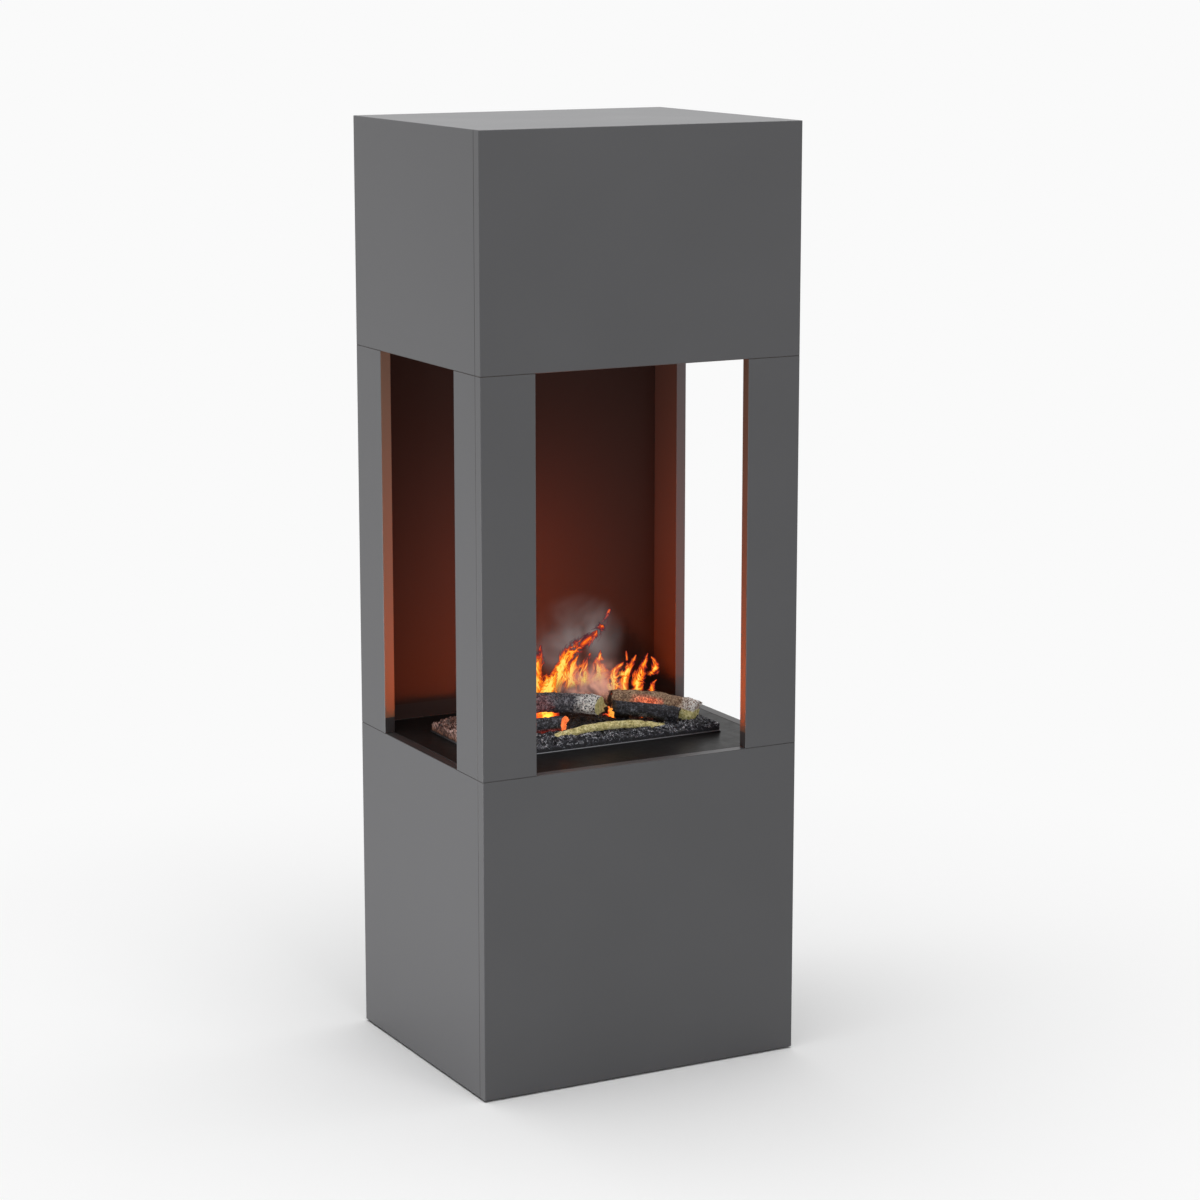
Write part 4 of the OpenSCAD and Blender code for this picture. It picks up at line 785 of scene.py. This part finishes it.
# Logs: start, bending point and end in mm, z above the hearth, radii at both ends in mm, squash,
# turn of the relief in radians, and slant of the right end
LOGS = {
    "upper_left_log": ([(-150, 2, 50), (-70, -18, 64), (40, -34, 40)], (15, 14), 0.98, 1, 1.0),
    "lower_left_log": ([(-162, -34, 27), (-104, -44, 28), (-35, -55, 29)], (13, 11), 0.95, 2, 0.75),
    "right_log": ([(50, -8, 46), (112, -28, 42), (174, -62, 22)], (13.5, 17.5), 1.0, 3, 0.4),
    "charred_log": ([(34, -48, 43), (88, -60, 37), (136, -73, 24)], (10, 12.5), 0.95, 4, 0.5),
    "glowing_log": ([(58, -36, 26), (66, -20, 28), (62, 0, 26)], (12, 11), 0.95, 5, 0.3),
    "cross_log": ([(-116, -16, 33), (-108, 4, 35), (-132, 64, 30)], (12, 12.5), 0.95, 6, 0.3),
    "rear_log": ([(-134, 66, 25), (-10, 84, 29), (138, 62, 24)], (13, 13), 0.9, 7, 0.3),
    "bark_strip": ([(-78, -70, 13), (26, -78, 36), (112, -72, 9)], (8, 7), 0.75, 8, 0.0),
}


def bent_line(name, path, radii):
    """Curve through start and end that leans to the bending point, as thick as the radii say."""
    first, bend, last = (bed_point(p) for p in path)
    clear_selection()
    bpy.ops.curve.primitive_bezier_curve_add(location=(0, 0, 0))
    line = start(name)
    line.data.dimensions = "3D"
    line.data.resolution_u = 48
    line.data.use_stretch = True
    line.data.use_deform_bounds = True
    line.data.twist_mode = "Z_UP"
    for point, co, radius in zip(line.data.splines[0].bezier_points, (first, last), radii):
        point.handle_left_type = point.handle_right_type = "FREE"
        point.co = co
        point.radius = radius / radii[0]
        to_bend = (bend - co) * (2 if co is first else -2) / 3
        point.handle_right = co + to_bend
        point.handle_left = co - to_bend
    return line


# Until its line stretches it, a log has this share of its length; and its rings per metre
BAR, RINGS = 0.4, 620


def rough_log(name, path, radii, squash, turn, slant):
    """A round bar with furrowed bark, hewn aslant at its end and bent along its line."""
    length = sum((Vector(b) - Vector(a)).length for a, b in zip(path, path[1:])) / 1000
    radius = radii[0] / 1000
    clear_selection()
    bpy.ops.mesh.primitive_cylinder_add(vertices=44, radius=radius, depth=length * BAR,
                                        location=(0, 0, 0), rotation=(0, math.pi / 2, 0))
    log = start(name + "_bark")
    settle(log)
    edit(log, "FACE", lambda c, n: abs(n.x) > 0.9)
    bpy.ops.mesh.inset(thickness=radius * 0.18)
    bpy.ops.mesh.inset(thickness=radius * 0.4)
    bpy.ops.mesh.poke()
    leave_edit()
    edit(log, "EDGE", lambda a, b: abs(a.x - b.x) > length * 0.3)
    bpy.ops.mesh.subdivide(number_cuts=min(100, int(length * RINGS)))
    leave_edit()
    # Bark, right end and left end
    for _ in range(3):
        log.data.materials.append(None)
    for face in log.data.polygons:
        if abs(face.normal.x) > 0.9:
            face.material_index = 1 if face.normal.x > 0 else 2
    along = log.data.attributes.new("along", "FLOAT", "POINT")
    height = log.data.attributes.new("height", "FLOAT", "POINT")
    for vertex in log.data.vertices:
        along.data[vertex.index].value = vertex.co.x / (length * BAR) + 0.5
        height.data[vertex.index].value = vertex.co.z / radius
    log.rotation_euler.x = turn
    settle(log)
    # Furrows 7.5 mm apart and up to 5.8 mm deep
    coarse = relief(name + "_furrows", "CLOUDS", 0.0075, noise_depth=2)
    modify(log, "DISPLACE", texture=coarse, texture_coords="LOCAL", strength=0.0058, mid_level=0.52)
    log.rotation_euler.x = -turn
    settle(log)
    for vertex in log.data.vertices:
        vertex.co.z *= squash
        share = max(0, vertex.co.x / (length * BAR / 2))
        vertex.co.x += slant * vertex.co.y * share ** 3 * BAR
    line = bent_line(name + "_line", path, radii)
    modify(log, "CURVE", object=line, deform_axis="POS_X")
    bpy.data.objects.remove(line)
    # Cracks 5 mm apart and up to 1.6 mm deep
    fine = relief(name + "_cracks", "VORONOI", 0.005)
    modify(log, "DISPLACE", texture=fine, texture_coords="LOCAL", strength=0.0016, mid_level=0.5)
    focus(log)
    bpy.ops.object.shade_smooth_by_angle(angle=math.radians(50))
    return log


class FIREPLACE_OT_logs(bpy.types.Operator):
    """Lay the logs and the bark strip on the bed"""
    bl_idname = "fireplace.logs"
    bl_label = "Logs"

    def execute(self, context):
        olive = srgb("#EDE6B4")
        char = (srgb("#07070A"), srgb("#1B1B21"), srgb("#8A8C96"))
        brown = (srgb("#38281C"), srgb("#80624A"), srgb("#D4BA94"))
        # lit gives a bark painted firelight: a share of its own colour that it gives off
        barks = {
            "upper_left_log": bark("ash_flecked_charcoal_bark", srgb("#0E0D12"), srgb("#34323A"),
                                   srgb("#8A8890"), 0.66, ash=0.8,
                                   embers=[(0.46, 0.17, 1.3, 0.18)], lit=0.1),
            "lower_left_log": bark("charred_bark", *char, 0.68, under=0.35),
            "right_log": bark("brown_olive_bark", *brown, 0.66, ash=0.86, moss=(olive, 0.79, 0.05),
                              embers=[(0.42, 0.22, 0.95, 0.5)], lit=0.12),
            "charred_log": bark("black_charred_bark", *char, 0.7),
            "glowing_log": bark("glowing_bark", srgb("#2A0E06"), srgb("#7A2A10"), srgb("#C86A30"),
                                0.6, embers=[(0.4, 0.8, 1.6, 1.1)]),
            "cross_log": bark("charred_brown_bark", srgb("#0E0C0B"), srgb("#2C2622"),
                              srgb("#7A6C5E"), 0.62, under=0.5),
            "rear_log": bark("brown_bark", *brown, 0.66),
            "bark_strip": bark("olive_bark", srgb("#7A6F3C"), srgb("#CCC082"), srgb("#F0E8B8"),
                               0.62, lit=0.12),
        }
        # The olive end gives off a little painted firelight, and the orange end is painted light of
        # the embers
        ends = {
            "upper_left_log": hewn_end("olive_hewn_end", srgb("#D8D098"), srgb("#9C9458"), 0.12),
            "right_log": barks["right_log"],
            "lower_left_log": hewn_end("ember_lit_hewn_end", srgb("#FF8A48"), srgb("#B43A1A"), 0.9),
        }
        plain_end = hewn_end("charred_hewn_end", srgb("#4A4038"), srgb("#1A1512"))
        for name, shape in LOGS.items():
            log = rough_log(name, *shape)
            log.data.materials[0] = barks[name]
            log.data.materials[1] = ends.get(name, plain_end)
            log.data.materials[2] = plain_end
            finish_piece(log, "log_bed", None, (name,))
        return {"FINISHED"}


# Flames from foot to tip: points in mm, z above the hearth, with their half-widths in mm
FLAMES = [
    [((-62, 26, 32), 17), ((-57, 26, 64), 19), ((-51, 24, 94), 13), ((-45, 22, 130), 2)],
    [((-36, 28, 40), 18), ((-32, 28, 60), 18), ((-26, 26, 76), 12), ((-19, 24, 92), 2)],
    [((-18, 34, 46), 13), ((-12, 32, 74), 13), ((-4, 30, 100), 12), ((14, 28, 118), 12),
     ((40, 26, 132), 10), ((58, 26, 148), 9), ((70, 26, 172), 3)],
    [((10, 28, 56), 15), ((6, 28, 80), 14), ((10, 26, 96), 8), ((18, 26, 108), 1.5)],
    [((32, 28, 56), 17), ((26, 28, 78), 15), ((30, 26, 92), 9), ((38, 26, 108), 1.5)],
    [((50, 26, 56), 18), ((49, 24, 80), 16), ((52, 24, 96), 9), ((54, 24, 112), 1.5)],
    [((79, 26, 40), 13), ((76, 26, 62), 13), ((80, 26, 78), 8), ((94, 26, 89), 1.5)],
    [((84, 28, 70), 5), ((98, 28, 73), 7), ((107, 28, 84), 6), ((114, 26, 98), 1.5)],
    [((119, 28, 34), 12), ((119, 28, 58), 12), ((124, 28, 76), 9), ((131, 28, 88), 5),
     ((135, 28, 98), 1.5)],
    [((132, 28, 68), 4), ((144, 28, 70), 7), ((148, 28, 82), 6), ((139, 26, 93), 1.5)],
    [((98, 32, 36), 8), ((98, 32, 58), 8), ((103, 32, 74), 6), ((101, 32, 104), 1.5)],
    [((-94, 28, 28), 16), ((-90, 28, 66), 17), ((-94, 26, 96), 11), ((-88, 24, 122), 2)],
    [((62, -10, 16), 10), ((66, -10, 32), 11), ((60, -8, 48), 7), ((66, -4, 62), 1.5)],
    [((134, 24, 28), 7), ((138, 22, 40), 7), ((140, 22, 52), 4), ((147, 22, 58), 1)],
]
# A sheet is wider than its flame by this factor, because its torn edges take up the outer part
FLAME_SPREAD = 1.3


def tongue(name, stops, lean):
    """One flame: a sheet bent along its own line, narrow at the tip and turned about it by lean."""
    half = stops[0][1] * FLAME_SPREAD / 1000
    clear_selection()
    bpy.ops.mesh.primitive_grid_add(x_subdivisions=8, y_subdivisions=36, size=1, location=(0, 0, 0))
    sheet = start(name)
    sheet.scale = (2 * half, 0.1, 1)
    sheet.rotation_euler = (0, 0, -math.pi / 2)
    settle(sheet)
    for vertex in sheet.data.vertices:
        # A slow wave across the sheet and a small quick one up it
        wave = 0.35 * half * math.sin(vertex.co.y / half * 1.4)
        vertex.co.z = wave + 0.12 * half * math.sin(vertex.co.x * 90)
    clear_selection()
    bpy.ops.curve.primitive_nurbs_path_add(location=(0, 0, 0))
    line = start(name + "_line")
    line.data.splines.clear()
    spline = line.data.splines.new("BEZIER")
    spline.bezier_points.add(len(stops) - 1)
    for point, (place_mm, width) in zip(spline.bezier_points, stops):
        point.co = bed_point(place_mm)
        point.radius = width * FLAME_SPREAD / 1000 / half
        point.tilt = lean
        point.handle_left_type = point.handle_right_type = "AUTO"
    line.data.dimensions = "3D"
    line.data.resolution_u = 24
    line.data.use_stretch = True
    line.data.use_deform_bounds = True
    line.data.twist_mode = "MINIMUM"
    modify(sheet, "CURVE", object=line, deform_axis="POS_X")
    bpy.data.objects.remove(line)
    return sheet


def join(sheets, name):
    """Joins the objects into one with the name."""
    clear_selection()
    for sheet in sheets:
        sheet.select_set(True)
    bpy.context.view_layer.objects.active = sheets[0]
    bpy.ops.object.join()
    return start(name)


class FIREPLACE_OT_flames(bpy.types.Operator):
    """Raise the flames of lit vapour over the slot"""
    bl_idname = "fireplace.flames"
    bl_label = "Flames"

    def execute(self, context):
        settings = context.scene.fireplace_fire
        sheets = []
        for i, stops in enumerate(FLAMES):
            # Two sheets stand across each other, so that the flame is seen from all sides
            for k, lean in enumerate((0.0, math.pi / 2)):
                sheets.append(tongue(f"tongue_{i}_{k}", stops, lean + 0.5 * (chance(i, 2) - 0.5)))
        flames = join(sheets, "vapour_flames")
        bpy.ops.object.shade_smooth()
        finish_piece(flames, "cabinet", flame_material(settings.flame_light))
        return {"FINISHED"}


# Sheets over the slot: middle in mm, z above the hearth, width and height in mm, turn in degrees.
# Grey wisps rise behind the flames, lit haze hangs over the logs, and dark sheets behind the right
# end are painted shadow
WISPS = [((26, 46, 130), 150, 140, -28), ((10, 50, 116), 130, 110, -12),
         ((42, 42, 146), 110, 110, -44), ((20, 40, 104), 160, 90, -36),
         ((50, 44, 134), 110, 120, -18)]
HAZES = [((14, 6, 64), 90, 56, -28), ((34, -2, 64), 90, 54, -14), ((54, 6, 62), 70, 52, -44),
         ((-4, 4, 58), 64, 44, -28), ((26, 0, 76), 90, 50, -28), ((30, -4, 90), 110, 50, -20)]
SHADOWS = [((108, 60, 110), 90, 90, -28), ((138, 62, 82), 90, 80, -28),
           ((164, 64, 50), 80, 70, -28)]


def wisp(name, middle, width, height, turn):
    """A curved sheet standing over the slot, for vapour and for painted shadow."""
    clear_selection()
    bpy.ops.mesh.primitive_grid_add(x_subdivisions=16, y_subdivisions=16, size=1,
                                    location=(0, 0, 0))
    sheet = start(name)
    sheet.scale = (width / 1000, height / 1000, 1)
    settle(sheet)
    wave = relief(name + "_wave", "CLOUDS", width / 2000)
    modify(sheet, "DISPLACE", texture=wave, texture_coords="LOCAL", strength=0.012)
    sheet.rotation_euler = (math.pi / 2, 0, math.radians(turn))
    sheet.location = bed_point(middle)
    settle(sheet)
    return sheet


class FIREPLACE_OT_vapour(bpy.types.Operator):
    """Let grey vapour rise behind the flames and a lit haze over the logs, with dark sheets of
    painted shadow behind the right end
    """
    bl_idname = "fireplace.vapour"
    bl_label = "Vapour"

    def execute(self, context):
        for name, places, look in (
                ("vapour_wisps", WISPS, ("grey_vapour", "#6B605E", "#A59C9B", 0.4, 0.06)),
                ("vapour_haze", HAZES, ("lit_vapour_haze", "#8A6A68", "#DCA08C", 0.6, 0.02)),
                # The dark sheets are painted shadow
                ("vapour_shadow", SHADOWS, ("dark_vapour", "#0C0606", "#140B09", 0.75, 0.06))):
            piece = join([wisp(f"{name}_{i}", *values) for i, values in enumerate(places)], name)
            bpy.ops.object.shade_smooth()
            finish_piece(piece, "cabinet", vapour_material(*look))
        return {"FINISHED"}


def add_object(name, data):
    """Puts an object with the data into the scene."""
    obj = bpy.data.objects.new(name, data)
    bpy.context.scene.collection.objects.link(obj)
    return obj


def lamp(name, energy, size, place_m, target):
    """A soft rectangular lamp that looks at the target; size and places in metres."""
    data = bpy.data.lights.new(name, "AREA")
    data.shape = "RECTANGLE"
    data.size, data.size_y = size
    data.energy = energy
    obj = add_object(name, data)
    obj.location = place_m
    obj.rotation_euler = (Vector(target) - Vector(place_m)).to_track_quat("-Z", "Y").to_euler()
    obj.visible_camera = False
    return obj


def looked_at(node):
    """1 for what the camera, a reflection or clear plastic shows, 0 for the light itself."""
    path = node("LightPath").outputs
    seen = node("Math", path["Is Camera Ray"], path["Is Glossy Ray"], operation="MAXIMUM")
    return node("Math", seen, path["Is Transmission Ray"], operation="MAXIMUM")


# Colour of the backdrop, and where the camera stands in metres and how it is turned in degrees
BACKDROP = "#FAFAFA"
CAMERA_PLACE, CAMERA_TURN = (-2.1611, -4.1448, 1.6049), (90 - 11.450, -0.016, -27.968)
# Lamps of the fire, on a line along the vapour slot: x and z above the hearth in metres, and share
# of the lamp power
SLOT_Y = 0.026
FIRE_LAMPS = ((-0.08, 0.023, 0.6), (0.0, 0.023, 0.5), (0.08, 0.023, 0.34), (0.0, 0.24, 0.95))
# Endings of the pieces that don't shade the walls from them
UNSHADING = ("_bark", "_grains", "_flames", "_wisps", "_haze", "_shadow")


class FIREPLACE_OT_stage(bpy.types.Operator):
    """Set up the floor, the studio light, the fire light and the camera"""
    bl_idname = "fireplace.stage"
    bl_label = "Stage"

    def execute(self, context):
        scene = context.scene
        settings = scene.fireplace_stage
        clear_selection()
        bpy.ops.mesh.primitive_circle_add(vertices=96, radius=30, fill_type="NGON",
                                          location=(0, 0, 0))
        floor = start("studio_floor")
        floor.data.materials.append(self.floor_material(tuple(settings.floor_colour)))
        world = bpy.data.worlds.new("studio")
        world.use_nodes = True
        scene.world = world
        self.world_light(world.node_tree)
        lamp("ceiling_softbox", 186, (4, 4), (-0.2, 0.2, 4.4), (0, 0, 1.0))
        low = lamp("left_softbox", 13, (1.2, 0.4), (-1.5, -0.3, 0.3), (0, 0, 0.35))
        lamp("front_softbox", 48, (2.5, 2.0), (0.6, -4.0, 3.2), (0, 0, 0.7))
        # The low lamp would burn a white patch into the floor
        unlit = bpy.data.collections.new("not_lit_from_the_left")
        unlit.objects.link(floor)
        unlit.collection_objects[0].light_linking.link_state = "EXCLUDE"
        low.light_linking.receiver_collection = unlit
        self.fire_light(scene.fireplace_fire.lamp_power)
        camera = add_object("camera", bpy.data.cameras.new("camera"))
        camera.data.sensor_width = 36
        camera.data.lens = settings.lens
        camera.data.clip_end = 200
        camera.location = CAMERA_PLACE
        camera.rotation_euler = [math.radians(angle) for angle in CAMERA_TURN]
        scene.camera = camera
        scene.view_settings.view_transform = "Standard"
        # Rays pass through all the sheets of vapour
        scene.cycles.transparent_max_bounces = 24
        return {"FINISHED"}

    def floor_material(self, colour):
        """Matt paper floor that keeps the shadow near the column and fades into the backdrop."""
        material, shader, node = principled("matt_paper", Roughness=0.9, Base_Color=colour)
        spot = node("VectorMath", place(node), operation="LENGTH")
        far = node("MapRange", spot, 0.4, 1.6, 0.0, 1.0, interpolation_type="SMOOTHSTEP")
        share = node("Math", far, looked_at(node), operation="MULTIPLY")
        mixed = node("MixShader", share, shader, node("Emission", srgb(BACKDROP), 1.0))
        feed(material.node_tree.nodes["Material Output"], {"Surface": mixed})
        return material

    def world_light(self, tree):
        """Even light, with a pale backdrop for the camera and for reflections."""
        light = tree.nodes["Background"]
        feed(light, {"Color": (1, 1, 1, 1), "Strength": 0.18})
        back = add(tree, "Background", srgb(BACKDROP), 1.0)
        shown = add(tree, "MixShader", looked_at(partial(add, tree)), light, back)
        feed(tree.nodes["World Output"], {"Surface": shown})

    def fire_light(self, power):
        """Amber lamps that light the boards of the chamber and the hood, and the hearth not.

        Three lie in the slot and shine up; one hangs among the flames and shines all round.
        """
        clear = bpy.data.collections.new("not_shading_the_walls")
        for obj in bpy.context.scene.objects:
            if obj.name.endswith(UNSHADING):
                clear.objects.link(obj)
        for item in clear.collection_objects:
            item.light_linking.link_state = "EXCLUDE"
        lit = bpy.data.collections.new("lit_boards")
        for name in LACQUERED:
            if not name.startswith("base_"):
                lit.objects.link(NODES[name])
        for i, (x, z, share) in enumerate(FIRE_LAMPS):
            low = z < 0.1
            data = bpy.data.lights.new(f"fire_lamp_{i}", "SPOT" if low else "POINT")
            data.energy = power * share
            data.color = srgb("#FF6519")[:3]
            data.shadow_soft_size = 0.012
            if low:
                data.spot_size = math.pi
                data.spot_blend = 0.05
            obj = add_object(data.name, data)
            obj.location = (x, SLOT_Y, HEARTH_Z + z)
            obj.rotation_euler = (math.pi, 0, 0)
            obj.visible_glossy = low
            obj.light_linking.blocker_collection = clear
            obj.light_linking.receiver_collection = lit


class FIREPLACE_PT_panel(bpy.types.Panel):
    """Sidebar panel with the settings and the pieces"""
    bl_idname = "FIREPLACE_PT_panel"
    bl_label = "Vapour fireplace"
    bl_space_type = "VIEW_3D"
    bl_region_type = "UI"
    bl_category = "Fireplace"

    def draw(self, context):
        layout = self.layout
        scene = context.scene
        for group in (scene.fireplace_cabinet, scene.fireplace_fire, scene.fireplace_stage):
            for key in group.__annotations__:
                layout.prop(group, key)
        for operator in OPERATORS:
            layout.operator(operator.bl_idname)


GROUPS = {"fireplace_cabinet": CabinetSettings, "fireplace_fire": FireSettings,
          "fireplace_stage": StageSettings}
OPERATORS = (FIREPLACE_OT_cabinet, FIREPLACE_OT_vapour_unit, FIREPLACE_OT_coals, FIREPLACE_OT_logs,
             FIREPLACE_OT_flames, FIREPLACE_OT_vapour, FIREPLACE_OT_stage)


def register():
    """Registers the settings, the operators and the panel."""
    for cls in (*GROUPS.values(), *OPERATORS, FIREPLACE_PT_panel):
        bpy.utils.register_class(cls)
    for name, group in GROUPS.items():
        setattr(bpy.types.Scene, name, bpy.props.PointerProperty(type=group))


def unregister():
    """Takes back what register does."""
    for name in GROUPS:
        delattr(bpy.types.Scene, name)
    for cls in (FIREPLACE_PT_panel, *reversed(OPERATORS), *GROUPS.values()):
        bpy.utils.unregister_class(cls)


def main():
    """Dresses the frame."""
    register()
    bpy.ops.fireplace.cabinet()
    bpy.ops.fireplace.vapour_unit()
    bpy.ops.fireplace.coals()
    bpy.ops.fireplace.logs()
    bpy.ops.fireplace.flames()
    bpy.ops.fireplace.vapour()
    bpy.ops.fireplace.stage()


if __name__ == "__main__":
    main()
